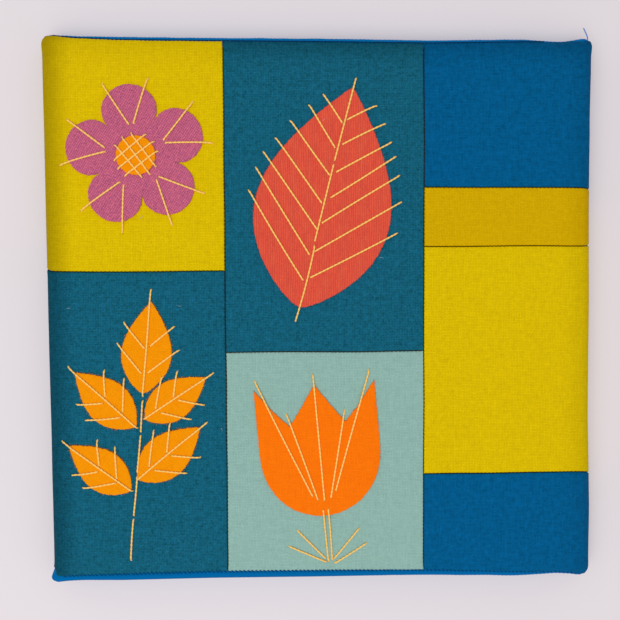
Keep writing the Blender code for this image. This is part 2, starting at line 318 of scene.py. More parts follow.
@dataclass(frozen=True)
class WovenWool:
    """A wool cloth, woven from spun yarn and more or less milled: matt, slightly hairy.

    The threads are drawn in the cloth's own UV map, which is in metres. Sizes are in
    millimetres, and the turn of the threads is in degrees. Amounts are shares of the
    cloth's brightness. The seam shade colour, where a cloth has one, is painted shade:
    a dark colour on its part under the patches, for the dim seams between them.
    """

    slot: str
    colour: str
    weave: Weave = Weave.PLAIN
    warp_pitch: float = 0.88
    weft_pitch: float = 0.88
    turn: float = 0.0
    thread_height: float = 0.16
    gap_shade: float = 0.35
    thread_shade: float = 0.16
    mottle: float = 0.10
    mottle_size: float = 5.0
    fibre_shade: float = 0.12
    fibre_size: float = 0.45
    hue_drift: float = 0.01
    sheen: float = 0.12
    gloss: float = 0.12
    # Painted shade towards the left, right, top and bottom edges; below 0, painted light
    painted_edge_shades: tuple[float, float, float, float] = (0.0, 0.0, 0.0, 0.0)
    # Painted shade: a dark colour on the cloth under the patches, which shows in the seams
    seam_shade_colour: str | None = None

    def material(self) -> Material:
        """Builds the cloth's material.

        Returns:
            A material whose colour and bump follow the threads.
        """
        material = bpy.data.materials.new(self.slot)
        material.use_nodes = True
        tree = material.node_tree
        uv = add_node(tree, "ShaderNodeUVMap", uv_map=CLOTH_UV)["UV"]
        cover, index, along = self._threads(tree, uv)
        # Thick and thin places along each thread, with a row of noise for every thread
        across, down = (
            add_node(tree, "ShaderNodeMath", {0: value, 1: step}, operation="MULTIPLY")[0]
            for value, step in ((index, SLUB_STEP), (along, SLUB_RUN))
        )
        key = add_node(tree, "ShaderNodeCombineXYZ", {"X": across, "Y": down})["Vector"]
        slub_inputs = {"Vector": key, "Scale": 1.0, "Detail": 2.0}
        slub = add_node(tree, "ShaderNodeTexNoise", slub_inputs)["Fac"]
        fibre, mottle = (
            add_node(
                tree,
                "ShaderNodeTexNoise",
                {"Vector": uv, "Scale": 1 / (size * MM), "Detail": detail, "Roughness": 0.6},
            )["Fac"]
            for size, detail in ((self.fibre_size, 4.0), (self.mottle_size, 3.0))
        )
        value = self._sum(
            tree,
            1.0 - MEAN_COVER * self.gap_shade,
            (cover, self.gap_shade),
            (slub, 2 * self.thread_shade),
            (mottle, 2 * self.mottle),
            (fibre, 2 * self.fibre_shade),
        )
        # Painted shade towards the board's edges, and painted light for a shade below 0
        value = self._paint_edge_shade(tree, uv, value)
        hue = self._sum(tree, 0.5, (fibre, 2 * self.hue_drift), (slub, self.hue_drift))
        dye = {"Color": linear(self.colour), "Value": value, "Hue": hue}
        colour = add_node(tree, "ShaderNodeHueSaturation", dye)["Color"]
        # Painted shade for the seams, on the cloth under the patches
        if self.seam_shade_colour:
            colour = self._paint_seam_shade(tree, colour)
        relief = self.thread_height * MM
        height = self._sum(tree, 0.0, (cover, relief), (fibre, 0.5 * relief))
        bump = {"Height": height, "Distance": 1.0, "Strength": 1.0}
        look = {
            "Base Color": colour,
            "Normal": add_node(tree, "ShaderNodeBump", bump)["Normal"],
            "Roughness": 0.95,
            "Specular IOR Level": self.gloss,
            "Specular Tint": linear(self.colour),
            "Sheen Weight": self.sheen,
            "Sheen Roughness": 0.6,
            "Sheen Tint": linear(self.colour),
        }
        fill_inputs(tree, tree.nodes["Principled BSDF"], look)
        return material

    def _threads(self, tree: Tree, uv: Socket) -> tuple[Socket, Socket, Socket]:
        """Draws the crossing threads.

        Args:
            tree: the material's tree.
            uv: the place on the cloth, in metres.

        Returns:
            The height of the upper thread from 0 to 1, its number, and the distance
            along it in threads.
        """
        drift_inputs = {"Vector": uv, "Scale": 1 / DRIFT_SIZE, "Detail": 1.0}
        drift = add_node(tree, "ShaderNodeTexNoise", drift_inputs)["Color"]
        counting = {
            "Vector": uv,
            "Rotation": (0.0, 0.0, math.radians(self.turn)),
            "Scale": (1 / (self.warp_pitch * MM), 1 / (self.weft_pitch * MM), 1.0),
        }
        counted = add_node(tree, "ShaderNodeMapping", counting)["Vector"]
        wander = {0: drift, 1: (THREAD_DRIFT, THREAD_DRIFT, 0.0), 2: counted}
        threads = add_node(tree, "ShaderNodeVectorMath", wander, operation="MULTIPLY_ADD")[0]
        whole = add_node(tree, "ShaderNodeVectorMath", {0: threads}, operation="FLOOR")[0]
        cell = add_node(tree, "ShaderNodeVectorMath", {0: threads}, operation="FRACTION")[0]
        spread = {0: cell, "Scale": math.pi}
        half_turns = add_node(tree, "ShaderNodeVectorMath", spread, operation="SCALE")[0]
        rise = add_node(tree, "ShaderNodeVectorMath", {0: half_turns}, operation="SINE")[0]
        thread, number, ridge = (
            add_node(tree, "ShaderNodeSeparateXYZ", {0: vector}) for vector in (threads, whole, rise)
        )
        repeat, shown = self.weave.value
        counts = {0: number["X"], 1: number["Y"]}
        step = add_node(tree, "ShaderNodeMath", counts, operation="ADD")[0]
        cycle = {0: step, 1: float(repeat)}
        place = add_node(tree, "ShaderNodeMath", cycle, operation="FLOORED_MODULO")[0]
        test = {0: place, 1: shown - 0.5}
        warp_up = add_node(tree, "ShaderNodeMath", test, operation="LESS_THAN")[0]
        sides = []
        for across, beside in (("Y", "X"), ("X", "Y")):
            arch = {0: ridge[beside], 1: 0.5, 2: 0.5}
            bow = add_node(tree, "ShaderNodeMath", arch, operation="MULTIPLY_ADD")[0]
            round_side = {0: ridge[across], 1: bow}
            sides.append(add_node(tree, "ShaderNodeMath", round_side, operation="MULTIPLY")[0])
        # Each pair is what the weft gives and what the warp gives where it is on top
        pairs = (sides, (number["Y"], number["X"]), (thread["X"], thread["Y"]))
        cover, index, along = (
            add_node(tree, "ShaderNodeMix", {0: warp_up, 2: weft, 3: warp})[0] for weft, warp in pairs
        )
        return cover, index, along

    def _paint_edge_shade(self, tree: Tree, uv: Socket, value: Socket) -> Socket:
        """Darkens the cloth towards the board's edges, or lightens it by a shade below 0.

        Args:
            tree: the material's tree.
            uv: the place on the cloth, in metres.
            value: the cloth's brightness away from the edges.

        Returns:
            The brightness with the painted edge shade, or painted light where a shade is below 0.
        """
        place = add_node(tree, "ShaderNodeSeparateXYZ", {0: uv})
        sides = (("X", -1), ("X", 1), ("Y", 1), ("Y", -1))
        for (axis, way), shade in zip(sides, self.painted_edge_shades):
            if not shade:
                continue
            fall = {
                "Value": place[axis],
                "From Min": way * (EDGE_PLACE - EDGE_REACH),
                "From Max": way * EDGE_PLACE,
                "To Min": 1.0,
                "To Max": 1.0 - shade,
            }
            light = add_node(tree, "ShaderNodeMapRange", fall, interpolation_type="SMOOTHSTEP")
            shaded = {0: value, 1: light["Result"]}
            value = add_node(tree, "ShaderNodeMath", shaded, operation="MULTIPLY")[0]
        return value

    def _paint_seam_shade(self, tree: Tree, colour: Socket) -> Socket:
        """Shades the cloth under the patches, where it shows only in their seams.

        Args:
            tree: the material's tree.
            colour: the cloth's colour in full light.

        Returns:
            The colour, with painted shade under the patches for the dim light between two cloths.
        """
        place = add_node(tree, "ShaderNodeTexCoord")["Object"]
        aside = add_node(tree, "ShaderNodeVectorMath", {0: place}, operation="ABSOLUTE")[0]
        axes = add_node(tree, "ShaderNodeSeparateXYZ", {0: aside})
        seam_shade_mask: float | Socket = 1.0
        for axis, bound, comparison in (
            ("X", SEAM_SHADE_HALF_X, "LESS_THAN"),
            ("Y", SEAM_SHADE_HALF_Y, "LESS_THAN"),
            ("Z", SEAM_SHADE_LOW_Z, "GREATER_THAN"),
        ):
            limit = {0: axes[axis], 1: bound}
            within = add_node(tree, "ShaderNodeMath", limit, operation=comparison)[0]
            both = {0: within, 1: seam_shade_mask}
            seam_shade_mask = add_node(tree, "ShaderNodeMath", both, operation="MULTIPLY")[0]
        shades = {0: seam_shade_mask, 6: colour, 7: linear(self.seam_shade_colour)}
        return add_node(tree, "ShaderNodeMix", shades, data_type="RGBA")[2]

    @staticmethod
    def _sum(tree: Tree, base: float, *parts: tuple[Socket, float]) -> Socket:
        """Adds weighted values to a base, with each noise value centred on its 0.5.

        Args:
            tree: the material's tree.
            base: the sum with nothing added.
            *parts: each value with its weight.

        Returns:
            The sum.
        """
        noise_weight = sum(
            weight for value, weight in parts if value.node.type == "TEX_NOISE"
        )
        total: Socket | float = base - 0.5 * noise_weight
        for value, weight in parts:
            layer = {0: value, 1: weight, 2: total}
            total = add_node(tree, "ShaderNodeMath", layer, operation="MULTIPLY_ADD")[0]
        return total


@dataclass(frozen=True)
class SpunThread:
    """Spun sewing or embroidery thread: fine fibres along a twist, with a soft gloss."""

    name: str
    colour: str
    roughness: float = 0.55
    sheen: float = 0.2
    gloss: float = 0.3
    shade: float = 0.18
    fibre_size: float = 0.5 * MM
    fibre_height: float = 0.05 * MM

    def material(self) -> Material:
        """Builds the thread's material.

        Returns:
            A material with fine streaks of lighter and darker fibres.
        """
        material = bpy.data.materials.new(self.name)
        material.use_nodes = True
        tree = material.node_tree
        place = add_node(tree, "ShaderNodeTexCoord")["Object"]
        grain = {"Vector": place, "Scale": 1 / self.fibre_size, "Detail": 3.0}
        fibre = add_node(tree, "ShaderNodeTexNoise", grain)["Fac"]
        streak = {0: fibre, 1: 2 * self.shade, 2: 1 - self.shade}
        value = add_node(tree, "ShaderNodeMath", streak, operation="MULTIPLY_ADD")[0]
        dye = {"Color": linear(self.colour), "Value": value}
        bump = {"Height": fibre, "Distance": self.fibre_height, "Strength": 0.6}
        look = {
            "Base Color": add_node(tree, "ShaderNodeHueSaturation", dye)["Color"],
            "Normal": add_node(tree, "ShaderNodeBump", bump)["Normal"],
            "Roughness": self.roughness,
            "Specular IOR Level": self.gloss,
            "Sheen Weight": self.sheen,
            "Sheen Tint": linear(self.colour),
        }
        fill_inputs(tree, tree.nodes["Principled BSDF"], look)
        return material


@dataclass(frozen=True)
class MattCard:
    """Pale matt card under the panel: nearly even, without gloss."""

    name: str = "pale_card"
    colour: str = "#E0DADD"

    def material(self) -> Material:
        """Builds the card's material.

        Returns:
            A plain material without gloss.
        """
        material = bpy.data.materials.new(self.name)
        material.use_nodes = True
        tree = material.node_tree
        look = {"Base Color": linear(self.colour), "Roughness": 1.0, "Specular IOR Level": 0.0}
        fill_inputs(tree, tree.nodes["Principled BSDF"], look)
        return material


# Plain woven furnishing cloth, finer than the patches: flat bright blue, matt
# A top shade below 0 paints light on the backing's top band
BACKING_BLUE = WovenWool(
    "backing_blue", "#0368A7", warp_pitch=0.55, weft_pitch=0.55, thread_height=0.08,
    thread_shade=0.10, mottle=0.06, sheen=0.0, gloss=0.04,
    # The dark olive under the patches is painted shade for the seams
    painted_edge_shades=(0.0, 0.0, -0.18, 0.0), seam_shade_colour="#3E3A0A",
)
# Milled twill wool: dark and cloudy, with thick and thin places, not clear threads
TEAL_WOOL = WovenWool(
    "teal_wool", "#165F76", weave=Weave.TWILL, thread_height=0.16, gap_shade=0.42,
    thread_shade=0.45, mottle=0.40, mottle_size=2.8, fibre_shade=0.75, fibre_size=1.1,
    hue_drift=0.03, painted_edge_shades=DARK_CLOTH_PAINTED_SHADES,
)
# Plain woven wool, lightly milled: cloudy blue with soft slubs
BLUE_WOOL = WovenWool(
    "blue_wool", "#055A8A", warp_pitch=0.8, weft_pitch=0.8, thread_height=0.12,
    gap_shade=0.32, thread_shade=0.40, mottle=0.36, mottle_size=2.8, fibre_shade=0.32,
    fibre_size=1.1, painted_edge_shades=BLUE_CLOTH_PAINTED_SHADES,
)
# Plain woven wool: an even warm yellow, in which the threads just show
YELLOW_WOOL = WovenWool(
    "yellow_wool", "#DABB07", thread_height=0.12, gap_shade=0.22, thread_shade=0.16,
    mottle=0.15, mottle_size=2.6, fibre_size=0.9, painted_edge_shades=BRIGHT_CLOTH_PAINTED_SHADES,
)
# The same cloth in a deeper dye: more even still
MUSTARD_WOOL = WovenWool(
    "mustard_wool", "#D0A805", thread_height=0.12, gap_shade=0.16, thread_shade=0.12,
    mottle=0.13, mottle_size=2.6, fibre_size=0.9, painted_edge_shades=BRIGHT_CLOTH_PAINTED_SHADES,
)
# Plain woven wool in a pale dye: faint threads and soft broad mottling
SAGE_WOOL = WovenWool(
    "sage_wool", "#8EB4AA", gap_shade=0.12, thread_shade=0.18, thread_height=0.12,
    mottle=0.12, mottle_size=2.6, fibre_shade=0.10, fibre_size=0.9,
)
# Ribbed wool: fine cords with dark lines between them
CORAL_WOOL = WovenWool(
    "coral_wool", "#DB543F", weave=Weave.RIB, warp_pitch=1.22, weft_pitch=0.7,
    gap_shade=0.30, thread_shade=0.12, mottle=0.03, fibre_shade=0.18, fibre_size=0.8,
)
# Milled twill wool with its warp on top: hairy, and flecked on the slant
PLUM_WOOL = WovenWool(
    "plum_wool", "#C0607F", weave=Weave.WARP_TWILL, warp_pitch=1.05, weft_pitch=1.2, turn=34,
    gap_shade=0.50, thread_shade=0.30, mottle=0.18, mottle_size=2.0, fibre_shade=0.58,
    fibre_size=1.0, hue_drift=0.03,
)
# Plain woven wool in a strong dye: nearly flat bright orange
ORANGE_WOOL = WovenWool(
    "orange_wool", "#F8750C", gap_shade=0.08, thread_shade=0.08, thread_height=0.10,
    mottle=0.07, mottle_size=2.4, fibre_shade=0.05,
)
# Plain woven wool: nearly flat, in which the threads just show
AMBER_WOOL = WovenWool(
    "amber_wool", "#F39408", gap_shade=0.12, thread_shade=0.10, thread_height=0.12,
    mottle=0.08, mottle_size=2.4, fibre_shade=0.08,
)
CLOTHS = (
    BACKING_BLUE, TEAL_WOOL, BLUE_WOOL, YELLOW_WOOL, MUSTARD_WOOL, SAGE_WOOL,
    CORAL_WOOL, PLUM_WOOL, ORANGE_WOOL, AMBER_WOOL,
)
# Twisted embroidery cotton: pale gold with a soft sheen
GOLD_THREAD = SpunThread("gold_thread", "#F8C768", sheen=0.3)
# Sewing thread: fine, dark and without gloss
NAVY_THREAD = SpunThread("navy_thread", "#062E50", roughness=0.9, sheen=0.0, gloss=0.06)
# The loose tail of sewing thread: paler and a little fuzzy
PALE_BLUE_THREAD = SpunThread("pale_blue_thread", "#2F78BE", roughness=0.7)
# The shade in a needle hole, which isn't a real thread: dark and dull
NEEDLE_HOLE_SHADE = SpunThread("needle_hole_shade", "#2E2416", roughness=1.0, sheen=0.0)
# Wool lint: a pale bluish fibre
LINT = SpunThread("lint_fibre", "#B9CBD2", roughness=0.9)


# The board's form


class Hem(Enum):
    """The two edges of the face where the patchwork ends in a hem."""

    TOP = "top"
    BOTTOM = "bottom"

    @property
    def way(self) -> int:
        """1 for the hem above the middle of the face, and -1 for the one below."""
        return 1 if self is Hem.TOP else -1


@dataclass(frozen=True)
class EdgeRow:
    """How far the edges swell at a place along them, and the blue bands' widths, in mm.

    A place runs from left to right for the top and bottom, and upwards for the sides.
    """

    place: float
    top: float
    bottom: float
    left: float
    right: float
    band_top: float
    band_bottom: float


EDGE_ROWS = (
    EdgeRow(-150, 0.6, 1.0, -0.1, 1.4, -0.6, 3.2),
    EdgeRow(-146, 0.7, 1.3, 0.3, 1.8, -0.5, 3.8),
    EdgeRow(-141, 0.2, 0.6, -1.1, 1.4, 0.0, 4.3),
    EdgeRow(-132, -0.5, 0.2, -1.3, 1.2, 0.8, 4.7),
    EdgeRow(-110, -0.8, 0.4, -1.3, 1.0, 1.9, 5.4),
    EdgeRow(-60, -1.0, -0.1, -1.0, -0.4, 2.2, 5.7),
    EdgeRow(0, -1.1, 0.1, -0.5, -0.2, 2.4, 5.5),
    EdgeRow(60, -1.8, -0.1, -0.3, -0.6, 2.3, 4.6),
    EdgeRow(110, -1.3, 0.4, 0.2, -0.5, 1.6, 2.8),
    EdgeRow(132, -2.6, -0.8, 0.5, 0.2, -0.5, 0.9),
    EdgeRow(138, -1.6, -0.3, 0.6, 0.3, -0.5, 0.5),
    EdgeRow(142, -0.8, 0.3, 0.9, 0.6, 1.0, 0.3),
    EdgeRow(146, 0.3, 1.4, 1.6, 1.5, 1.2, 0.2),
    EdgeRow(150, 0.5, 1.3, 1.5, 1.4, 0.8, 0.2),
)
# How far the face has dropped, at distances from the middle, in mm
DOME_PLACES = (60.0, 110.0, 121.0, 132.0, 136.5, 141.0, 144.0)
DOME_DROPS = (0.0, 0.1, 0.32, 0.8, 1.2, 1.7, 2.1)


@dataclass(frozen=True)
class PanelForm:
    """The padded board as the cloth feels it: a rounded block with a hand-made outline."""

    half_width: float = 148.5 * MM
    half_height: float = 149.0 * MM
    front_radius: float = 5.0 * MM
    back_radius: float = 2.5 * MM
    swell_reach: float = 20.0 * MM
    row_blur: float = 3.0 * MM
    notch_height: float = 3.7 * MM
    notch_start: float = 146.6 * MM
    notch_slope: float = 3.0 * MM
    wave: float = 0.20 * MM
    wave_size: float = 42 * MM
    ripple: float = 0.05 * MM
    ripple_size: float = 13 * MM
    depth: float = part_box("backing")[1].z
    face_z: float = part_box("patch_teal_top_middle")[1].z

    @property
    def cover(self) -> float:
        """How far the outside of the patches stands off the board."""
        return self.face_z - self.depth

    @property
    def flat_x(self) -> float:
        """Half the width of the flat of the face."""
        return self.half_width - self.front_radius

    @property
    def flat_y(self) -> float:
        """Half the height of the flat of the face."""
        return self.half_height - self.front_radius

    @property
    def edge_z(self) -> float:
        """The height of the middle of the rounded front edge."""
        return self.depth - self.front_radius

    @property
    def wrap_radius(self) -> float:
        """The radius at which the outside of the patches turns round the edge."""
        return self.front_radius + self.cover

    @property
    def quarter_turn(self) -> float:
        """The length of cloth that the turn round a side edge takes."""
        return self.wrap_radius * math.pi / 2

    def row_value(self, column: str, places: np.ndarray) -> np.ndarray:
        """Reads one column of the edge table in a smooth line, in metres.

        Args:
            column: the column's name.
            places: the places along the edge, in metres.

        Returns:
            The column's value at each place.
        """
        table_places = [row.place * MM for row in EDGE_ROWS]
        values = [getattr(row, column) * MM for row in EDGE_ROWS]
        steps = np.linspace(-self.row_blur, self.row_blur, 5)
        return np.mean([np.interp(places + s, table_places, values) for s in steps], axis=0)

    def settle(self, points: np.ndarray) -> np.ndarray:
        """Moves points of a plain rounded block to where they lie on this panel.

        Args:
            points: one point a row.

        Returns:
            The moved points.
        """
        x, y, z = points.T
        moved = points.copy()
        swell_x = np.where(x > 0, self.row_value("right", y), self.row_value("left", y))
        swell_y = np.where(y > 0, self.row_value("top", x), self.row_value("bottom", x))
        reach = self.swell_reach
        weight_x = np.clip((abs(x) - self.half_width + reach) / reach, 0, 1)
        weight_y = np.clip((abs(y) - self.half_height + reach) / reach, 0, 1)
        moved[:, 0] += np.sign(x) * swell_x * weight_x
        moved[:, 1] += np.sign(y) * swell_y * weight_y
        drop = np.interp(abs(x) / MM, DOME_PLACES, DOME_DROPS)
        drop = drop + np.interp(abs(y) / MM, DOME_PLACES, DOME_DROPS)
        moved[:, 2] -= drop * MM * np.clip(z / self.depth, 0, 1)
        return moved

    def hem_angle(self, hem: Hem, x: np.ndarray) -> np.ndarray:
        """How far round the top or bottom edge the patchwork's hem lies, in radians."""
        band = self.row_value("band_" + hem.value, x)
        return np.arcsin(np.clip((self.front_radius - band) / self.wrap_radius, -1, 1))

    def hem_length(self, hem: Hem, x: np.ndarray) -> np.ndarray:
        """How far along the cloth the hem lies from the middle of the face."""
        return self.flat_y + self.wrap_radius * self.hem_angle(hem, x)

    def notch(self, hem: Hem, across: np.ndarray) -> np.ndarray:
        """How far the hem stops short at the lower left, where the backing folds up.

        Args:
            hem: the hem, of which only the bottom one has the notch.
            across: the places along the hem.

        Returns:
            The hem's drop at each place.
        """
        if hem is Hem.TOP:
            return np.zeros_like(across)
        share = np.clip((-across - self.notch_start) / self.notch_slope, 0, 1)
        return self.notch_height * share**2 * (3 - 2 * share)

    def wrap(self, across: np.ndarray, up: np.ndarray, lift: np.ndarray) -> np.ndarray:
        """Wraps flat cloth over the board.

        Args:
            across: each point's distance to the right along the outside of the cloth.
            up: its distance upwards along the outside of the cloth.
            lift: its distance from the board, outwards.

        Returns:
            The points on the panel, one a row.
        """
        flat_x = np.clip(across, -self.flat_x, self.flat_x)
        flat_y = np.clip(up, -self.flat_y, self.flat_y)
        beyond = abs(across - flat_x)
        turn = np.sign(across) * np.minimum(beyond / self.wrap_radius, math.pi / 2)
        down = np.maximum(beyond - self.quarter_turn, 0)
        tuck = (up - flat_y) / self.wrap_radius
        reach = self.front_radius + lift
        points = np.column_stack(
            (
                flat_x + reach * np.sin(turn) * np.cos(tuck),
                flat_y + reach * np.sin(tuck),
                self.edge_z - down + reach * np.cos(turn) * np.cos(tuck),
            )
        )
        return self.settle(points)

    def wrapped_line(
        self, across: np.ndarray, up: np.ndarray, lift: np.ndarray
    ) -> list[Vector]:
        """The points of a thread's line, wrapped over the board in the same way."""
        return [Vector(point) for point in self.wrap(across, up, lift)]

    def unevenness(self, across: np.ndarray, up: np.ndarray) -> np.ndarray:
        """The soft waves of hand-stretched cloth over wadding, in metres.

        Args:
            across: each point's place across, along the cloth.
            up: its place upwards.

        Returns:
            How far each point stands up.
        """
        broad = coarse_noise(across, up, self.wave_size, seed=3.1)
        narrow = coarse_noise(across, up, self.ripple_size, seed=8.7)
        return self.wave * broad + self.ripple * narrow


FORM = PanelForm()


# Patches


@dataclass(frozen=True)
class Dimples:
    """The small dents that taut stitches pull into the cloth at their needle holes."""

    holes: tuple[tuple[float, float], ...]
    depth: float = 0.55 * MM
    radius: float = 0.9 * MM

    def depth_at(self, across: np.ndarray, up: np.ndarray) -> np.ndarray:
        """How deep the cloth is dented at each point.

        Args:
            across: each point's place across, along the cloth.
            up: its place upwards.

        Returns:
            The depth at each point.
        """
        total = np.zeros_like(across)
        for x, y in self.holes:
            squared = (across - x) ** 2 + (up - y) ** 2
            total += np.exp(-squared / self.radius**2)
        return self.depth * np.minimum(total, 1.0)


def seam_sway(place: float, along: np.ndarray) -> np.ndarray:
    """How far a hand-sewn seam strays from its line, the same for both its patches.

    Args:
        place: the seam's own place in metres, which gives each seam its own stray.
        along: the places along the seam.

    Returns:
        The stray in metres.
    """
    seed = round(place / MM) * 0.37
    slow = coarse_noise(along, np.full_like(along, seed), SEAM_WAVE_SIZE, seed)
    flare = np.exp(-(FORM.half_height - abs(along)) / SEAM_FLARE_REACH)
    teeth = SEAM_TOOTH * stitch_wave(along)
    return SEAM_WAVE * slow + teeth + SEAM_FLARE * math.sin(seed) * flare


def stitch_wave(along: np.ndarray) -> np.ndarray:
    """A wave from -1 to 1 that swings once for each stitch."""
    return np.cos(math.pi * along / (STITCH_PITCH / 2))


@dataclass
class Patch:
    """One plain patch of the face, with its seams turned down and its hems folded."""

    node: str
    finish: WovenWool
    wraps_left: bool = False
    wraps_right: bool = False
    hem_bottom: bool = False
    hem_top: bool = False
    line_pitch: float = STITCH_PITCH / 2
    fold_radius: float = 0.9 * MM
    fold_lines: tuple[float, ...] = (0.0, 0.08 * MM, 0.25 * MM, 0.5 * MM, 0.9 * MM)
    thickness: float = 0.6 * MM
    flap_end_z: float = 2.9 * MM
    scallops: tuple[float, float] = (0.08 * MM, 0.2 * MM)
    tuck: float = 0.07 * MM
    tuck_reach: float = 1.6 * MM
    pucker: float = 0.14 * MM
    pucker_reach: float = 6 * MM
    pucker_size: float = 7 * MM
    size: tuple[float, float] = field(default=(0.0, 0.0), init=False)

    def build(self, dimples: Dimples, material: Material) -> Piece:
        """Makes the patch.

        Args:
            dimples: the dents of the stitches.
            material: the patch's cloth.

        Returns:
            The piece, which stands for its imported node.
        """
        left, right, low, high = self._nominal_sides()
        columns = self._lines(left, right)
        levels = self._lines(low, high)
        mesh = self._grid(len(columns), len(levels))
        flat = points_of(mesh)
        column = np.rint((flat[:, 0] + 1) / 2 * (len(columns) - 1)).astype(int)
        level = np.rint((flat[:, 1] + 1) / 2 * (len(levels) - 1)).astype(int)
        plan_x, plan_y = columns[column], levels[level]
        across, up, inside = self._place(plan_x, plan_y, (left, right, low, high))
        lift = FORM.cover + FORM.unevenness(across, up) - dimples.depth_at(across, up)
        lift += self._puckers(across, up, inside)
        lift -= self._fold_drop(inside.min(axis=0))
        points = FORM.wrap(across, up, lift)
        mesh.vertices.foreach_set("co", points.ravel())
        store_uv(mesh, np.column_stack((across, up))[corner_points(mesh)])
        mesh.update()
        self.size = (float(right - left), float(high - low))
        name = self.node + "_cloth"
        piece = add_piece(name, mesh, material, self.node)
        solidify = piece.modifiers.new("cloth thickness", "SOLIDIFY")
        solidify.thickness = self.thickness
        solidify.offset = -1.0
        return piece

    def _nominal_sides(self) -> tuple[float, float, float, float]:
        """The patch's left, right, low and high sides, along its flat cloth.

        Returns:
            The four places along the flat cloth, in that order.
        """
        box_low, box_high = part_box(self.node)
        flap = FORM.flat_x + FORM.quarter_turn + FORM.edge_z - self.flap_end_z
        left = -flap if self.wraps_left else box_low.x
        right = flap if self.wraps_right else box_high.x
        low = -FORM.half_height if self.hem_bottom else box_low.y
        high = FORM.half_height if self.hem_top else box_high.y
        return left, right, low, high

    def _lines(self, start: float, end: float) -> np.ndarray:
        """The places of the mesh's lines between two sides, closer where cloth folds.

        Args:
            start: one side's place.
            end: the place of the side across from it.

        Returns:
            The lines' places, in order.
        """
        inner_start = math.ceil((start + 2 * self.fold_radius) / self.line_pitch)
        inner_end = math.floor((end - 2 * self.fold_radius) / self.line_pitch)
        inner = [k * self.line_pitch for k in range(inner_start, inner_end + 1)]
        before = [start + line for line in self.fold_lines]
        after = [end - line for line in reversed(self.fold_lines)]
        return np.array(before + inner + after)

    @staticmethod
    def _grid(columns: int, levels: int) -> Mesh:
        """A flat grid from -1 to 1 with that many lines each way.

        Args:
            columns: the number of lines across.
            levels: the number of lines upwards.

        Returns:
            The grid.
        """
        bm = bmesh.new()
        bmesh.ops.create_grid(
            bm, x_segments=columns - 1, y_segments=levels - 1, size=1.0
        )
        return mesh_of(bm, "grid")

    def _place(
        self,
        plan_x: np.ndarray,
        plan_y: np.ndarray,
        sides: tuple[float, float, float, float],
    ) -> tuple[np.ndarray, np.ndarray, np.ndarray]:
        """Moves the plan's straight lines to the uneven seams and hems.

        Args:
            plan_x: each point's place across, on straight lines.
            plan_y: its place upwards.
            sides: the patch's left, right, low and high sides.

        Returns:
            The places across and upwards, and each point's distance inside the four
            sides, one row a side.
        """
        left, right, low, high = sides
        share_x = (plan_x - left) / (right - left)
        share_y = (plan_y - low) / (high - low)
        stray_left = 0 if self.wraps_left else seam_sway(left, plan_y)
        stray_right = 0 if self.wraps_right else seam_sway(right, plan_y)
        stray_low = self._edge_stray(Hem.BOTTOM, self.hem_bottom, low, plan_x)
        stray_high = self._edge_stray(Hem.TOP, self.hem_top, high, plan_x)
        across = plan_x + (1 - share_x) * stray_left + share_x * stray_right
        up = plan_y + (1 - share_y) * stray_low + share_y * stray_high
        inside = np.array(
            (
                across - left - stray_left,
                right + stray_right - across,
                up - low - stray_low,
                high + stray_high - up,
            )
        )
        return across, up, inside

    def _edge_stray(
        self, hem: Hem, has_hem: bool, place: float, across: np.ndarray
    ) -> np.ndarray:
        """How far the patch's low or high side lies from its plain line.

        Args:
            hem: the hem that this side would have.
            has_hem: whether the side is a hem, or else a seam.
            place: the side's place along the cloth.
            across: the places along the side.

        Returns:
            The distance upwards along the cloth.
        """
        if not has_hem:
            return seam_sway(place, across)
        hem_place = FORM.hem_length(hem, np.clip(across, -FORM.flat_x, FORM.flat_x))
        depth = self.scallops[0] if hem is Hem.TOP else self.scallops[1]
        scallop = depth * stitch_wave(across)
        return hem.way * (hem_place + scallop - FORM.notch(hem, across) - FORM.half_height)

    def _puckers(
        self, across: np.ndarray, up: np.ndarray, inside: np.ndarray
    ) -> np.ndarray:
        """Little tucks beside the sides, where each stitch draws the cloth in.

        Args:
            across: each point's place across, along the cloth.
            up: its place upwards.
            inside: its distance inside the four sides, one row a side.

        Returns:
            How far each point stands up.
        """
        total = np.zeros_like(across)
        for row, along in zip(inside, (up, up, across, across)):
            waves = coarse_noise(along, row, self.pucker_size, seed=5.5)
            total += self.tuck * np.exp(-row / self.tuck_reach) * stitch_wave(along)
            total += self.pucker * np.exp(-row / self.pucker_reach) * waves
        return total

    def _fold_drop(self, inside: np.ndarray) -> np.ndarray:
        """How far the cloth has turned down at a distance inside its nearest side."""
        short = np.clip(self.fold_radius - inside, 0, self.fold_radius)
        return self.fold_radius - np.sqrt(self.fold_radius**2 - short**2)


PATCHES = (
    Patch("patch_yellow_top_left", YELLOW_WOOL, wraps_left=True, hem_top=True),
    Patch("patch_teal_low_left", TEAL_WOOL, wraps_left=True, hem_bottom=True),
    Patch("patch_teal_top_middle", TEAL_WOOL, hem_top=True),
    Patch("patch_sage_low_middle", SAGE_WOOL, hem_bottom=True),
    Patch("patch_blue_top_right", BLUE_WOOL, wraps_right=True, hem_top=True),
    Patch("patch_mustard_strip", MUSTARD_WOOL, wraps_right=True),
    Patch("patch_yellow_right", YELLOW_WOOL, wraps_right=True),
    Patch("patch_blue_low_right", BLUE_WOOL, wraps_right=True, hem_bottom=True),
)


# The backing

# The normal's upward part below which a face belongs to the flat back
BACK_FACING = -0.7


@dataclass(frozen=True)
class Ear:
    """A corner where the folded backing cloth stands out beyond the patches."""

    right: int
    top: int
    bulge: float


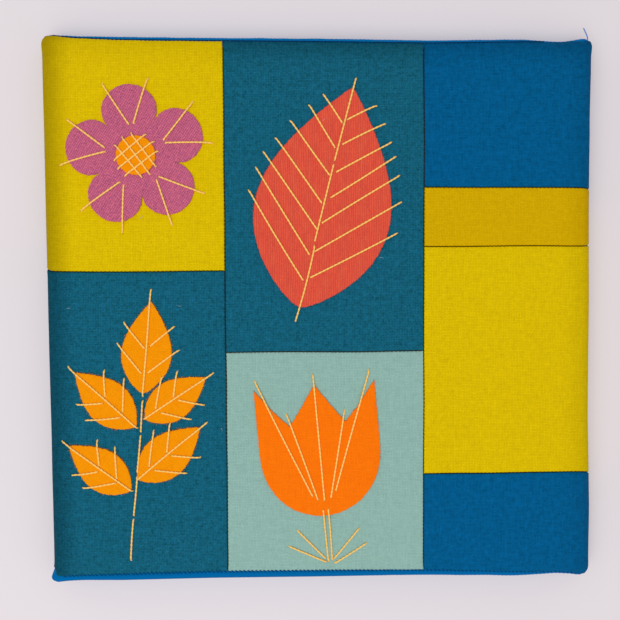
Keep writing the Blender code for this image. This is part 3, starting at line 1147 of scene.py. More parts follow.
@dataclass
class Backing:
    """The blue cloth over the back and the top and bottom sides, with its rolled lip."""

    node: str = "backing"
    finish: WovenWool = BACKING_BLUE
    front_steps: int = 10
    back_steps: int = 4
    column_pitch: float = STITCH_PITCH / 2
    level_pitch: float = 12 * MM
    corner_levels: tuple[float, ...] = (136 * MM, 138 * MM, 140 * MM, 142 * MM)
    lip_height: float = 1.2 * MM
    lip_width: float = 4.0 * MM
    lip_start: float = 0.08
    lip_tuck: float = 0.06
    lip_unevenness: float = 0.15
    lip_wave_size: float = 9 * MM
    ear_width: float = 5.0 * MM
    ear_height: float = 8.0 * MM
    ear_middle: float = 2.5 * MM
    ear_foot: float = 8.0 * MM
    ear_lift: float = 0.3
    ear_fullness: float = 0.7
    ears: tuple[Ear, ...] = (
        Ear(-1, -1, 2.4 * MM), Ear(1, -1, 0.3 * MM), Ear(-1, 1, 0.2 * MM), Ear(1, 1, 0.4 * MM),
    )

    def build(self, material: Material) -> Piece:
        """Makes the backing.

        Args:
            material: the blue cloth.

        Returns:
            The piece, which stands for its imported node.
        """
        bm = self._block()
        self._cut_lines(bm)
        mesh = mesh_of(bm, self.node)
        plain = points_of(mesh)
        self._lay_uv(mesh, plain)
        points = FORM.settle(self._bulge_ears(self._raise_lip(plain)))
        mesh.vertices.foreach_set("co", points.ravel())
        mesh.update()
        name = self.node + "_cloth"
        piece = add_piece(name, mesh, material, self.node)
        return piece

    def _block(self) -> bmesh.types.BMesh:
        """The plain block with its rounded edges.

        Returns:
            The block, with its back at 0.
        """
        bm = bmesh.new()
        bmesh.ops.create_cube(bm, size=1.0)
        size = (2 * FORM.half_width, 2 * FORM.half_height, FORM.depth)
        bmesh.ops.scale(bm, vec=size, verts=bm.verts)
        bmesh.ops.translate(bm, vec=(0, 0, FORM.depth / 2), verts=bm.verts)
        rounds = (
            (FORM.front_radius, self.front_steps, lambda top: top > FORM.depth / 2),
            (FORM.back_radius, self.back_steps, lambda top: top < TOUCH),
        )
        for radius, steps, wanted in rounds:
            edges = [e for e in bm.edges if wanted(max(v.co.z for v in e.verts))]
            bmesh.ops.bevel(
                bm,
                geom=edges,
                offset=radius,
                segments=steps,
                profile=0.5,
                affect="EDGES",
                material=-1,
            )
        return bm

    def _cut_lines(self, bm: bmesh.types.BMesh) -> None:
        """Cuts the block across, for the stitches' tucks, and along, for its swells.

        Args:
            bm: the block.
        """
        columns = int(FORM.flat_x / self.column_pitch)
        levels = int(FORM.flat_y / self.level_pitch)
        right, up = Vector((1, 0, 0)), Vector((0, 1, 0))
        cut_across(bm, right, [k * self.column_pitch for k in range(-columns, columns + 1)])
        cut_across(bm, up, [k * self.level_pitch for k in range(-levels, levels + 1)])
        cut_across(bm, up, [way * level for level in self.corner_levels for way in (-1, 1)])

    def _raise_lip(self, points: np.ndarray) -> np.ndarray:
        """Rolls the cloth up into a soft lip just beyond the patches' hems.

        Args:
            points: the block's points, one a row.

        Returns:
            The raised points.
        """
        x, y, z = points.T
        raised = points.copy()
        out, rise = abs(y) - FORM.flat_y, z - FORM.edge_z
        angle = np.arctan2(out, np.maximum(rise, TOUCH))
        on_edge = (out > 0) & (rise > -TOUCH)
        hem = np.where(y > 0, FORM.hem_angle(Hem.TOP, x), FORM.hem_angle(Hem.BOTTOM, x))
        beyond = (angle - hem - self.lip_start) * FORM.front_radius
        share = np.clip(beyond / self.lip_width, 0, 1)
        tucks = 1 + self.lip_tuck * stitch_wave(x)
        uneven = 1 + self.lip_unevenness * coarse_noise(x, np.sign(y), self.lip_wave_size, seed=2.2)
        lift = self.lip_height * np.sin(math.pi * share) * tucks * uneven
        lift = np.where(on_edge, lift, 0)
        raised[:, 1] += np.sign(y) * lift * np.sin(angle)
        raised[:, 2] += lift * np.cos(angle)
        return raised

    def _bulge_ears(self, points: np.ndarray) -> np.ndarray:
        """Swells the corners where the folded cloth stands out.

        Args:
            points: the block's points, one a row.

        Returns:
            The swollen points.
        """
        x, y, z = points.T
        swollen = points.copy()
        for ear in self.ears:
            away_x = FORM.half_width - ear.right * x
            away_y = FORM.half_height - ear.top * y
            distance = np.hypot(
                np.maximum(away_x, 0) / self.ear_width,
                (away_y - self.ear_middle) / self.ear_height,
            )
            weight = np.clip(1 - distance, 0, 1) ** self.ear_fullness
            weight = weight * np.clip(z / self.ear_foot, 0, 1)
            swollen[:, 0] += ear.right * ear.bulge * weight
            swollen[:, 1] += self.ear_lift * ear.top * ear.bulge * weight
        return swollen

    @staticmethod
    def _lay_uv(mesh: Mesh, points: np.ndarray) -> None:
        """Lays the cloth's UV map round the top and bottom edges, and flat on the back.

        Args:
            mesh: the backing's mesh.
            points: the plain block's points, one a row.
        """
        x, y, z = points.T
        out, rise = abs(y) - FORM.flat_y, z - FORM.edge_z
        turned = FORM.front_radius * np.arctan2(np.maximum(out, 0), np.maximum(rise, TOUCH))
        length = np.minimum(abs(y), FORM.flat_y) + turned + np.maximum(-rise, 0)
        corners = corner_points(mesh)
        uv = np.column_stack((x, np.sign(y) * length))[corners]
        for face in mesh.polygons:
            if face.normal.z < BACK_FACING:
                loops = slice(face.loop_start, face.loop_start + face.loop_total)
                uv[loops] = points[corners[loops]][:, :2]
        store_uv(mesh, uv)


# Motifs


def even_outline(outline: Sequence[Vector], step: float) -> list[Vector]:
    """The same closed outline with points an even step apart, and its corners kept.

    Args:
        outline: the outline's points.
        step: the distance between the new points.

    Returns:
        The new points.
    """
    points = []
    for start, end in zip(outline, [*outline[1:], outline[0]]):
        count = max(1, round((end - start).length / step))
        points += [start.lerp(end, k / count) for k in range(count)]
    return points


# How far towards its foot a leaf is fullest, and how full its ends are, below 1 for more
LEAF_LOWNESS = 0.82
LEAF_FULLNESS = 0.92


def leaf_half_width(share: float) -> float:
    """Half the width of a leaf at a share of its length, as a share of its fullest."""
    return max(0.0, math.sin(math.pi * share**LEAF_LOWNESS)) ** LEAF_FULLNESS


@dataclass
class Motif:
    """A cut piece of cloth on the face, in its own frame: foot at 0, upright along +Y."""

    node: str
    finish: WovenWool
    origin: Vector
    turn: float
    layer: int = 0
    thickness: float = 0.85 * MM
    outline_step: float = 0.9 * MM
    ragged: float = 0.12 * MM
    grid_pitch: float = 2.0 * MM
    buried: float = 0.3 * MM
    edge_radius: float = 0.4 * MM
    cut_share: float = 0.45
    curl: float = 0.12 * MM
    curl_reach: float = 2.5 * MM
    curl_size: float = 6 * MM
    hand_stray: float = 0.35 * MM
    grain_turn: float = 0.0

    def outline(self) -> list[Vector]:
        """The cut outline, in the motif's own frame."""
        raise NotImplementedError

    def stitches(self) -> list[Stitch]:
        """The two ends of each long stitch, in the motif's own frame."""
        raise NotImplementedError

    def to_face(self, point: Vector) -> Vector:
        """Moves a point of the motif's own frame onto the face."""
        return self.origin + Matrix.Rotation(self.turn, 2) @ point

    def face_stitches(self) -> list[Stitch]:
        """The stitches' ends on the face, each a little off its mark.

        Returns:
            The two ends of each long stitch, on the face.
        """
        rng = random.Random(self.node)
        ends = []
        for pair in self.stitches():
            moved = []
            for point in pair:
                off = Vector((rng.gauss(0, self.hand_stray), rng.gauss(0, self.hand_stray)))
                moved.append(self.to_face(point) + off)
            ends.append((moved[0], moved[1]))
        return ends

    def build(self, ground: str, material: Material) -> Piece:
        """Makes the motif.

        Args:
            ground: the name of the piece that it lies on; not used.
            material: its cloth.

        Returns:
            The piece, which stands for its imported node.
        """
        edge = even_outline([self.to_face(p) for p in self.outline()], self.outline_step)
        bm = bmesh.new()
        ring = bmesh.ops.create_circle(bm, cap_ends=True, segments=len(edge), radius=1.0)
        for vert, point in zip(ring["verts"], edge):
            vert.co = (point.x, point.y, 0.0)
        bm.normal_update()
        bmesh.ops.reverse_faces(bm, faces=[f for f in bm.faces if f.normal.z < 0])
        area = sum(f.calc_area() for f in bm.faces)
        whole = bm.faces[:]
        bmesh.ops.inset_region(
            bm, faces=whole, thickness=0.5 * self.edge_radius, use_boundary=True
        )
        bmesh.ops.triangulate(bm, faces=whole)
        self._cut_grid(bm)
        uv = bm.loops.layers.uv.new(CLOTH_UV)
        grain = Matrix.Rotation(-self.grain_turn, 2)
        for each in bm.faces:
            for loop in each.loops:
                loop[uv].uv = grain @ loop.vert.co.xy
        rim = {v for e in bm.edges if e.is_boundary for v in e.verts}
        self._fray(rim)
        made = bmesh.ops.extrude_face_region(bm, geom=bm.faces[:], use_keep_orig=True)
        top = {g for g in made["geom"] if isinstance(g, bmesh.types.BMVert)}
        self._shape(bm, edge, top)
        bmesh.ops.recalc_face_normals(bm, faces=bm.faces)
        mesh = mesh_of(bm, self.node)
        piece = add_piece(self.node + "_cloth", mesh, material, self.node)
        return piece

    def _cut_grid(self, bm: bmesh.types.BMesh) -> None:
        """Cuts the motif's face into small squares, so that it can follow the ground.

        Args:
            bm: the motif's mesh, still flat.
        """
        for axis in (Vector((1, 0, 0)), Vector((0, 1, 0))):
            places = [axis.dot(v.co) for v in bm.verts]
            first = math.ceil(min(places) / self.grid_pitch)
            last = math.floor(max(places) / self.grid_pitch)
            cut_across(bm, axis, [k * self.grid_pitch for k in range(first, last + 1)])

    def _fray(self, rim: Iterable[bmesh.types.BMVert]) -> None:
        """Moves the points of the cut edge a little off their line, before wrapping.

        Args:
            rim: the vertices of the cut edge.
        """
        rng = random.Random("edge of " + self.node)
        for vert in sorted(rim, key=lambda v: v.index):
            vert.co.x += rng.gauss(0, self.ragged)
            vert.co.y += rng.gauss(0, self.ragged)

    def _shape(
        self, bm: bmesh.types.BMesh, edge: Sequence[Vector], top: set[bmesh.types.BMVert]
    ) -> None:
        """Lays the motif over its ground, with its cut edge a little rounded.

        Args:
            bm: the motif's mesh, still flat.
            edge: the cut outline on the face.
            top: the vertices of its outside, above those of its underside.
        """
        verts = list(bm.verts)
        plan = np.array([v.co.xy for v in verts])
        line = np.array([p[:] for p in edge])
        nearest = np.array([np.hypot(*(line - p).T).min() for p in plan])
        short = np.clip(1 - nearest / self.edge_radius, 0, 1)
        rounded = self.cut_share + (1 - self.cut_share) * np.sqrt(1 - short**2)
        curl = coarse_noise(plan[:, 0], plan[:, 1], self.curl_size, seed=4.4)
        height = self.thickness * rounded
        height += self.curl * curl * np.exp(-nearest / self.curl_reach)
        level = self.layer * self.thickness
        ground = FORM.cover + FORM.unevenness(plan[:, 0], plan[:, 1]) + level
        is_top = np.array([v in top for v in verts])
        lift = ground + np.where(is_top, height, -self.buried)
        points = FORM.wrap(plan[:, 0], plan[:, 1], lift)
        for vert, point in zip(verts, points.tolist()):
            vert.co = point


@dataclass
class Flower(Motif):
    """A flower of five round petals, with a V of two stitches on each petal."""

    radius: float = 38 * MM
    petals: int = 5
    notch: float = 0.56
    bluntness: float = 0.55
    root_share: float = 0.43
    tip_share: float = 1.11
    root_gap: float = 0.8 * MM
    spread: float = math.radians(17)

    def outline(self) -> list[Vector]:
        """The petals' outline.

        Returns:
            Points all round, from the top to the left.
        """
        points = []
        steps = 240
        for step in range(steps):
            angle = 2 * math.pi * step / steps
            swell = abs(math.cos(self.petals * angle / 2)) ** self.bluntness
            reach = self.radius * (self.notch + (1 - self.notch) * swell)
            points.append(Vector((-reach * math.sin(angle), reach * math.cos(angle))))
        return points

    def stitches(self) -> list[Stitch]:
        """Two stitches on each petal, from one root out over the petal's edge.

        Returns:
            The two ends of each stitch.
        """
        pairs = []
        for petal in range(self.petals):
            axis = 2 * math.pi * petal / self.petals
            spin = Matrix.Rotation(axis, 2)
            root = spin @ Vector((0, self.root_share * self.radius))
            for side in (-1, 1):
                reach = Vector((0, self.tip_share * self.radius))
                tip = Matrix.Rotation(axis + side * self.spread, 2) @ reach
                pairs.append((root + side * spin @ Vector((-self.root_gap, 0)), tip))
        return pairs


@dataclass
class FlowerEye(Motif):
    """The flower's round eye, tied down with a trellis of stitches."""

    radius: float = 10.5 * MM
    trellis_pitch: float = 5.2 * MM
    trellis_turn: float = math.radians(38)
    overhang: float = 2.2 * MM

    def outline(self) -> list[Vector]:
        """A circle.

        Returns:
            Points all round, from the right.
        """
        steps = 90
        turns = [2 * math.pi * step / steps for step in range(steps)]
        return [self.radius * Vector((math.cos(t), math.sin(t))) for t in turns]

    def stitches(self) -> list[Stitch]:
        """Three stitches each way, which cross on the eye and reach over its edge.

        Returns:
            The two ends of each stitch.
        """
        pairs = []
        for quarter in (0.0, math.pi / 2):
            spin = Matrix.Rotation(self.trellis_turn + quarter, 2)
            for row in (-1, 0, 1):
                place = row * self.trellis_pitch
                reach = math.sqrt(self.radius**2 - place**2) + self.overhang
                pairs.append((spin @ Vector((-reach, place)), spin @ Vector((reach, place))))
        return pairs


@dataclass
class Leaf(Motif):
    """A pointed leaf with a midrib and side veins of long stitches."""

    length: float = 122 * MM
    half_width: float = 37 * MM
    rib_parts: tuple[float, ...] = (-0.07, 0.29, 0.66, 1.06)
    vein_shares: tuple[float, ...] = (0.13, 0.25, 0.37, 0.49, 0.61, 0.73, 0.84)
    vein_angle: float = math.radians(47)
    overhang: float = 7 * MM
    rib_gap: float = 0.7 * MM
    vein_gap: float = 1.3 * MM
    vein_stagger: float = 0.012
    vein_sway: float = 0.05

    def outline(self) -> list[Vector]:
        """The leaf's outline, up its right side and down its left.

        Returns:
            Points all round, from the foot.
        """
        steps = 60
        right = [
            Vector((self.half_width * leaf_half_width(k / steps), self.length * k / steps))
            for k in range(steps + 1)
        ]
        return right + [Vector((-p.x, p.y)) for p in right[-2:0:-1]]

    def stitches(self) -> list[Stitch]:
        """The midrib's stitches, end to end, and the veins from it over both edges.

        Returns:
            The two ends of each stitch.
        """
        pairs = []
        for start, end in zip(self.rib_parts, self.rib_parts[1:]):
            foot = Vector((0, start * self.length + self.rib_gap))
            pairs.append((foot, Vector((0, end * self.length - self.rib_gap))))
        for row, share in enumerate(self.vein_shares):
            for side in (-1, 1):
                angle = self.vein_angle + self.vein_sway * math.sin(5.1 * row + side)
                way = Vector((side * math.sin(angle), math.cos(angle)))
                up = (share + self.vein_stagger * side) * self.length
                foot = Vector((side * self.vein_gap, up))
                pairs.append((foot, foot + way * self._reach(foot, way)))
        return pairs

    def _reach(self, foot: Vector, way: Vector) -> float:
        """How long a vein is that ends just beyond the leaf's edge.

        Args:
            foot: where the vein starts.
            way: its direction, of length 1.

        Returns:
            The vein's length.
        """
        step = 0.5 * MM
        reach = 0.0
        while True:
            reach += step
            point = foot + way * reach
            share = min(1.0, point.y / self.length)
            if abs(point.x) > self.half_width * leaf_half_width(share):
                return reach + self.overhang


@dataclass
class Tulip(Motif):
    """A tulip's cup, with a fan of stitches up it, a stem and a few blades of grass."""

    height: float = 72 * MM
    half_width: float = 33 * MM
    bowl_share: float = 0.52
    bowl_fullness: float = 0.9
    rim: tuple[tuple[float, float], ...] = (
        (1.0, 1.0), (0.72, 0.83), (0.46, 0.70), (0.26, 0.83), (0.0, 1.0),
    )

    def outline(self) -> list[Vector]:
        """A round bowl under three points.

        Returns:
            Points all round, from the left side of the rim down the bowl.
        """
        bowl = self.bowl_share * self.height
        points = []
        steps = 60
        for step in range(steps + 1):
            turn = math.pi * step / steps
            depth = max(0.0, math.sin(turn)) ** self.bowl_fullness
            points.append(Vector((-self.half_width * math.cos(turn), bowl * (1 - depth))))
        sides = [*self.rim, *((-x, y) for x, y in self.rim[-2::-1])]
        return points + [Vector((x * self.half_width, y * self.height)) for x, y in sides]

    def stitches(self) -> list[Stitch]:
        """The fan up the cup, the stem and the blades beside it.

        Returns:
            The two ends of each stitch.
        """
        w, h = self.half_width, self.height
        rows = (
            (-0.20, 0.16, -0.96, 1.08), (-0.11, 0.12, -0.50, 0.80), (0.0, 0.11, 0.0, 1.09),
            (0.11, 0.13, 0.47, 0.80), (0.20, 0.17, 0.95, 1.09),
            (-0.03, 0.05, -0.03, -0.37), (0.04, 0.06, 0.04, -0.36),
            (-0.05, -0.35, -0.50, -0.10), (-0.04, -0.37, -0.66, -0.22),
            (0.07, -0.35, 0.52, -0.12), (0.06, -0.38, 0.64, -0.25),
        )
        return [(Vector((a * w, b * h)), Vector((c * w, d * h))) for a, b, c, d in rows]


@dataclass
class Leaflet(Leaf):
    """One small leaf of the sprig."""

    rib_parts: tuple[float, ...] = (-0.05, 1.14)
    vein_shares: tuple[float, ...] = (0.22, 0.50)
    overhang: float = 4.5 * MM


# Half a leaflet's width, as a share of its length
LEAFLET_HALF_WIDTH = 0.27


def leaflet(name: str, foot_x: float, foot_y: float, length: float, turn: float) -> Leaflet:
    """One leaflet, from its foot on the face and its length in mm and turn in degrees.

    Args:
        name: where the leaflet is on the sprig.
        foot_x: its foot's place across the face, in mm.
        foot_y: its foot's place upwards, in mm.
        length: its length, in mm.
        turn: its turn to the left from upright, in degrees.

    Returns:
        The leaflet.
    """
    return Leaflet(
        "leaflet_" + name, AMBER_WOOL, Vector((foot_x * MM, foot_y * MM)),
        math.radians(turn), length=length * MM,
        half_width=LEAFLET_HALF_WIDTH * length * MM, grain_turn=math.radians(turn),
    )


FLOWER_CENTRE = Vector((-99 * MM, 84 * MM))
FLOWER = Flower("flower", PLUM_WOOL, FLOWER_CENTRE, math.radians(8))
FLOWER_EYE = FlowerEye("flower_eye", AMBER_WOOL, FLOWER_CENTRE, 0.0, layer=1)
BROAD_LEAF = Leaf("broad_leaf", CORAL_WOOL, Vector((-12 * MM, 2 * MM)), math.radians(-14))
TULIP = Tulip("tulip", ORANGE_WOOL, Vector((2 * MM, -112 * MM)), math.radians(5))
LEAFLETS = (
    leaflet("tip", -97, -44, 50, -6),
    leaflet("upper_left", -101, -62, 44, 48),
    leaflet("upper_right", -96, -58, 40, -56),
    leaflet("lower_left", -104, -97, 42, 54),
    leaflet("lower_right", -100, -91, 44, -50),
)
# Half the gap between two stitches of the sprig's stem
STEM_GAP = 0.6 * MM
# The sprig's stem, from its foot to the tip's leaflet, in mm
STEM_POINTS = ((-105, -137), (-103, -112), (-100.5, -88), (-98.5, -66), (-97.3, -47))


def stem_stitches() -> list[Stitch]:
    """The stitches of the sprig's stem, end to end.

    Returns:
        The two ends of each stitch, on the face.
    """
    points = [Vector((x * MM, y * MM)) for x, y in STEM_POINTS]
    pairs = []
    for start, end in zip(points, points[1:]):
        gap = (end - start).normalized() * STEM_GAP
        pairs.append((start + gap, end - gap))
    return pairs


# Sewing

# The height from which a ray looks down for the face
RAY_START = 60 * MM


class FaceSurface:
    """The finished outside of the face, which tells how high it is at any place."""

    def __init__(self, pieces: Iterable[Piece]) -> None:
        """Collects the pieces' meshes.

        Args:
            pieces: the patches and motifs.
        """
        verts: list[Vector] = []
        faces: list[list[int]] = []
        for piece in pieces:
            start = len(verts)
            verts += [v.co.copy() for v in piece.data.vertices]
            faces += [[start + i for i in f.vertices] for f in piece.data.polygons]
        self._tree = BVHTree.FromPolygons(verts, faces)

    def height(self, place: Vector) -> float:
        """The height of the face at a place.

        Args:
            place: the place, to the right and upwards.

        Returns:
            The height of the outside there, or of the plain face where nothing is hit.
        """
        start = Vector((place.x, place.y, RAY_START))
        hit = self._tree.ray_cast(start, Vector((0, 0, -1)))[0]
        return hit.z if hit else FORM.face_z


@dataclass
class GoldStitches:
    """Long straight stitches of two-ply gold thread, taut over the cloth's steps."""

    surface: FaceSurface
    ply_radius: float = 0.35 * MM
    ply_offset: float = 0.18 * MM
    twist_length: float = 4.6 * MM
    step: float = 0.55 * MM
    dive_length: float = 1.5 * MM
    dive_depth: float = 1.1 * MM
    bow_share: float = 0.005
    hook: float = 0.45 * MM
    hook_length: float = 3.0 * MM

    def build(
        self, name: str, ends: Sequence[Stitch], material: Material
    ) -> Piece:
        """Sews one group of stitches.

        Args:
            name: the piece's name.
            ends: the two needle holes of each stitch, on the face.
            material: the thread.

        Returns:
            The piece with all its stitches.
        """
        rng = random.Random(name)
        plies: list[list[Vector]] = []
        for start, end in ends:
            line = self._middle_line(start, end, rng)
            plies += self._plies(line, rng.uniform(0, math.tau))
        return add_piece(name, thread_mesh(name, plies, self.ply_radius, 1), material)

    def _middle_line(self, start: Vector, end: Vector, rng: random.Random) -> list[Vector]:
        """The taut line between two needle holes, over what it crosses.

        Args:
            start: the first hole.
            end: the second hole, where the thread bends a little before it goes down.
            rng: chooses how much the thread strays from straight.

        Returns:
            The points of the line.
        """
        length = (end - start).length
        count = max(6, round(length / self.step))
        side = Vector((start.y - end.y, end.x - start.x)) / length
        bow = rng.gauss(0, self.bow_share) * length
        hook = rng.uniform(-self.hook, self.hook)
        places = []
        for k in range(count + 1):
            share = k / count
            bent = max(0.0, 1 - (1 - share) * length / self.hook_length) ** 2
            stray = bow * math.sin(math.pi * share) + hook * bent
            places.append(start.lerp(end, share) + stray * side)
        heights = self._taut([self.surface.height(p) for p in places])
        line = []
        for k, (place, height) in enumerate(zip(places, heights)):
            to_hole = length * min(k, count - k) / count
            sunk = max(0.0, 1 - to_hole / self.dive_length)
            rise = self.ply_radius + 0.5 * self.ply_offset
            line.append(Vector((place.x, place.y, height + rise - self.dive_depth * sunk**2)))
        return line

    @staticmethod
    def _taut(heights: Sequence[float]) -> list[float]:
        """The heights of a string drawn tight over a line of heights.

        Args:
            heights: the heights of the ground, an even step apart.

        Returns:
            The string's height at the same places.
        """
        hull: list[int] = []
        for k, height in enumerate(heights):
            while len(hull) > 1:
                a, b = hull[-2], hull[-1]
                rise = (height - heights[a]) * (b - a)
                if (heights[b] - heights[a]) * (k - a) > rise:
                    break
                hull.pop()
            hull.append(k)
        return np.interp(range(len(heights)), hull, [heights[k] for k in hull]).tolist()

    def _plies(self, line: Sequence[Vector], phase: float) -> list[list[Vector]]:
        """The two plies, twisted round the middle line.

        Args:
            line: the points of the middle line.
            phase: the twist at its start, in radians.

        Returns:
            The points of each ply.
        """
        along = (line[-1] - line[0]).normalized()
        side = Vector((-along.y, along.x, 0)).normalized()
        above = Vector((0, 0, 1))
        plies: list[list[Vector]] = [[], []]
        run = 0.0
        for k, point in enumerate(line):
            run += (point - line[max(0, k - 1)]).length
            for ply, points in enumerate(plies):
                turn = phase + math.pi * ply + math.tau * run / self.twist_length
                off = side * math.cos(turn) + above * math.sin(turn)
                points.append(point + self.ply_offset * off)
        return plies


@dataclass
# Painted shade: a small dark disc at each needle hole stands in for the shade in the hole
class NeedleHoleShades:
    """The small dark mouths of the holes that the gold thread goes down."""

    surface: FaceSurface
    radius: float = 0.27 * MM
    inset: float = 0.1 * MM
    lift: float = 0.03 * MM

    def build(
        self, ends: Sequence[Stitch], material: Material
    ) -> Piece:
        """Makes a shallow disc at each hole.

        Args:
            ends: the stitches' needle holes.
            material: the shade inside the holes.

        Returns:
            The piece with all the holes.
        """
        bm = bmesh.new()
        for pair in ends:
            for hole, other in (pair, pair[::-1]):
                place = hole - (hole - other).normalized() * self.inset
                height = self.surface.height(place) + self.lift
                where = Matrix.Translation((place.x, place.y, height))
                bmesh.ops.create_circle(
                    bm, cap_ends=True, segments=8, radius=self.radius, matrix=where
                )
        return add_piece("needle_hole_shades", mesh_of(bm, "needle_hole_shades"), material)


@dataclass(frozen=True)
class SlipStitches:
    """The small slanting stitches that join the patchwork to the backing all round.

    A stitch's knots go from its hole in the patchwork to the one in the backing. Each
    has its share of the way out from the hem, below 0 inside it, and its height off the
    board.
    """

    thread_radius: float = 0.17 * MM
    slant: float = 0.75 * MM
    stray: float = 0.12 * MM
    top_end: float = 123 * MM
    inside: float = 0.55 * MM
    outside: float = 1.0 * MM
    crease_radius: float = 0.24 * MM
    crease_step: float = 0.22 * MM
    crease_drop: float = 0.12 * MM
    crease_pitch: float = 2 * MM
    patch_knots: tuple[tuple[float, float], ...] = (
        (-1.0, FORM.cover - 0.15 * MM), (-0.2, FORM.cover + 0.12 * MM),
    )
    front_knots: tuple[tuple[float, float], ...] = (
        (0.45, FORM.cover - 0.3 * MM), (1.0, 0.75 * MM),
    )
    side_knots: tuple[tuple[float, float], ...] = ((0.5, 0.6 * MM), (1.0, -0.1 * MM))

    def front_lines(self, hem: Hem) -> list[list[Vector]]:
        """The stitches along the hem at the top or the bottom edge.

        Args:
            hem: the top or the bottom one.

        Returns:
            Each stitch's points.
        """
        rng = random.Random(hem.value)
        count = int(FORM.flat_x / STITCH_PITCH)
        shares, lifts = np.array(self.patch_knots + self.front_knots).T
        out = shares * np.where(shares < 0, self.inside, self.outside)
        lines = []
        for k in range(-count, count + 1):
            across = (k + 0.5) * STITCH_PITCH + rng.gauss(0, self.stray)
            if hem is Hem.TOP and across > self.top_end:
                continue
            up = hem.way * (FORM.hem_length(hem, np.array([across])) + out)
            lines.append(FORM.wrapped_line(across + shares * self.slant, up, lifts))
        return lines

    # The dark crease thread is a real thread that also paints the shade in the top crease
    def crease_thread_and_shade_line(self) -> list[Vector]:
        """The thread pulled tight along the hem at the top, just under the stitches.

        Returns:
            The thread's points.
        """
        across = np.arange(-FORM.flat_x, self.top_end, self.crease_pitch)
        up = FORM.hem_length(Hem.TOP, across) + self.crease_step
        lift = np.full_like(across, FORM.cover - self.crease_drop)
        return FORM.wrapped_line(across, up, lift)

    def side_lines(self, way: int) -> list[list[Vector]]:
        """The stitches along the foot of the left or right flap.

        Args:
            way: -1 for the left side and 1 for the right.

        Returns:
            Each stitch's points.
        """
        rng = random.Random(way)
        flap = FORM.flat_x + FORM.quarter_turn + FORM.edge_z - Patch.flap_end_z
        count = int(FORM.flat_y / STITCH_PITCH)
        lowest = 2 if way < 0 else 0
        shares, lifts = np.array(self.patch_knots + self.side_knots).T
        across = way * (flap + shares * self.inside)
        lines = []
        for k in range(lowest - count, count + 1):
            up = k * STITCH_PITCH + rng.gauss(0, self.stray) + shares * self.slant
            lines.append(FORM.wrapped_line(across, up, lifts))
        return lines

    def build(self, material: Material) -> list[Piece]:
        """Sews the four sides.

        Args:
            material: the thread.

        Returns:
            One piece a side, and the thread in the top crease, which also paints the crease's shade.
        """
        sides = {
            "slip_stitches_top": self.front_lines(Hem.TOP),
            "slip_stitches_bottom": self.front_lines(Hem.BOTTOM),
            "slip_stitches_left": self.side_lines(-1),
            "slip_stitches_right": self.side_lines(1),
        }
        pieces = [
            add_piece(name, thread_mesh(name, lines, self.thread_radius), material)
            for name, lines in sides.items()
        ]
        # The crease thread, partly a real thread and partly painted shade
        crease = thread_mesh("crease_thread_and_shade_top", [self.crease_thread_and_shade_line()], self.crease_radius)
        return pieces + [add_piece("crease_thread_and_shade_top", crease, material)]


@dataclass
class LooseEnds:
    """What the maker left: a thread's tail at the top right, and specks of lint."""

    surface: FaceSurface
    tail_radius: float = 0.30 * MM
    tail_points: tuple[tuple[float, float, float], ...] = (
        (147.9, 148.2, 14.6), (147.6, 149.4, 15.4), (147.2, 150.8, 15.4),
        (146.8, 152.2, 15.0), (146.3, 153.7, 14.6), (145.8, 155.2, 14.2),
    )
    lint_radius: float = 0.06 * MM
    lint_count: int = 7
    lint_steps: int = 6
    lint_step: float = 0.45 * MM
    lint_lift: float = 0.12 * MM
    lint_curl: float = 0.9
    lint_inset: float = 3 * MM

    def build(self, tail_material: Material, lint_material: Material) -> list[Piece]:
        """Makes the tail and the lint.

        Args:
            tail_material: the tail's thread.
            lint_material: the lint's fibre.

        Returns:
            The tail and the lint, one piece each.
        """
        tail = [Vector(p) * MM for p in self.tail_points]
        tail_mesh = thread_mesh("thread_tail", [tail], self.tail_radius, 1)
        lint_mesh = thread_mesh("lint", self._lint_lines(), self.lint_radius)
        return [
            add_piece("thread_tail", tail_mesh, tail_material),
            add_piece("lint", lint_mesh, lint_material),
        ]

    def _lint_lines(self) -> list[list[Vector]]:
        """Short curled fibres, here and there on the face.

        Returns:
            Each fibre's points.
        """
        rng = random.Random("lint")
        reach_x = FORM.flat_x - self.lint_inset
        reach_y = FORM.flat_y - self.lint_inset
        lines = []
        for _ in range(self.lint_count):
            place = Vector((rng.uniform(-reach_x, reach_x), rng.uniform(-reach_y, reach_y)))
            heading = rng.uniform(0, math.tau)
            line = []
            for _ in range(self.lint_steps):
                height = self.surface.height(place) + self.lint_lift
                line.append(Vector((place.x, place.y, height)))
                heading += rng.uniform(-self.lint_curl, self.lint_curl)
                step = Vector((math.cos(heading), math.sin(heading)))
                place = place + self.lint_step * step
            lines.append(line)
        return lines


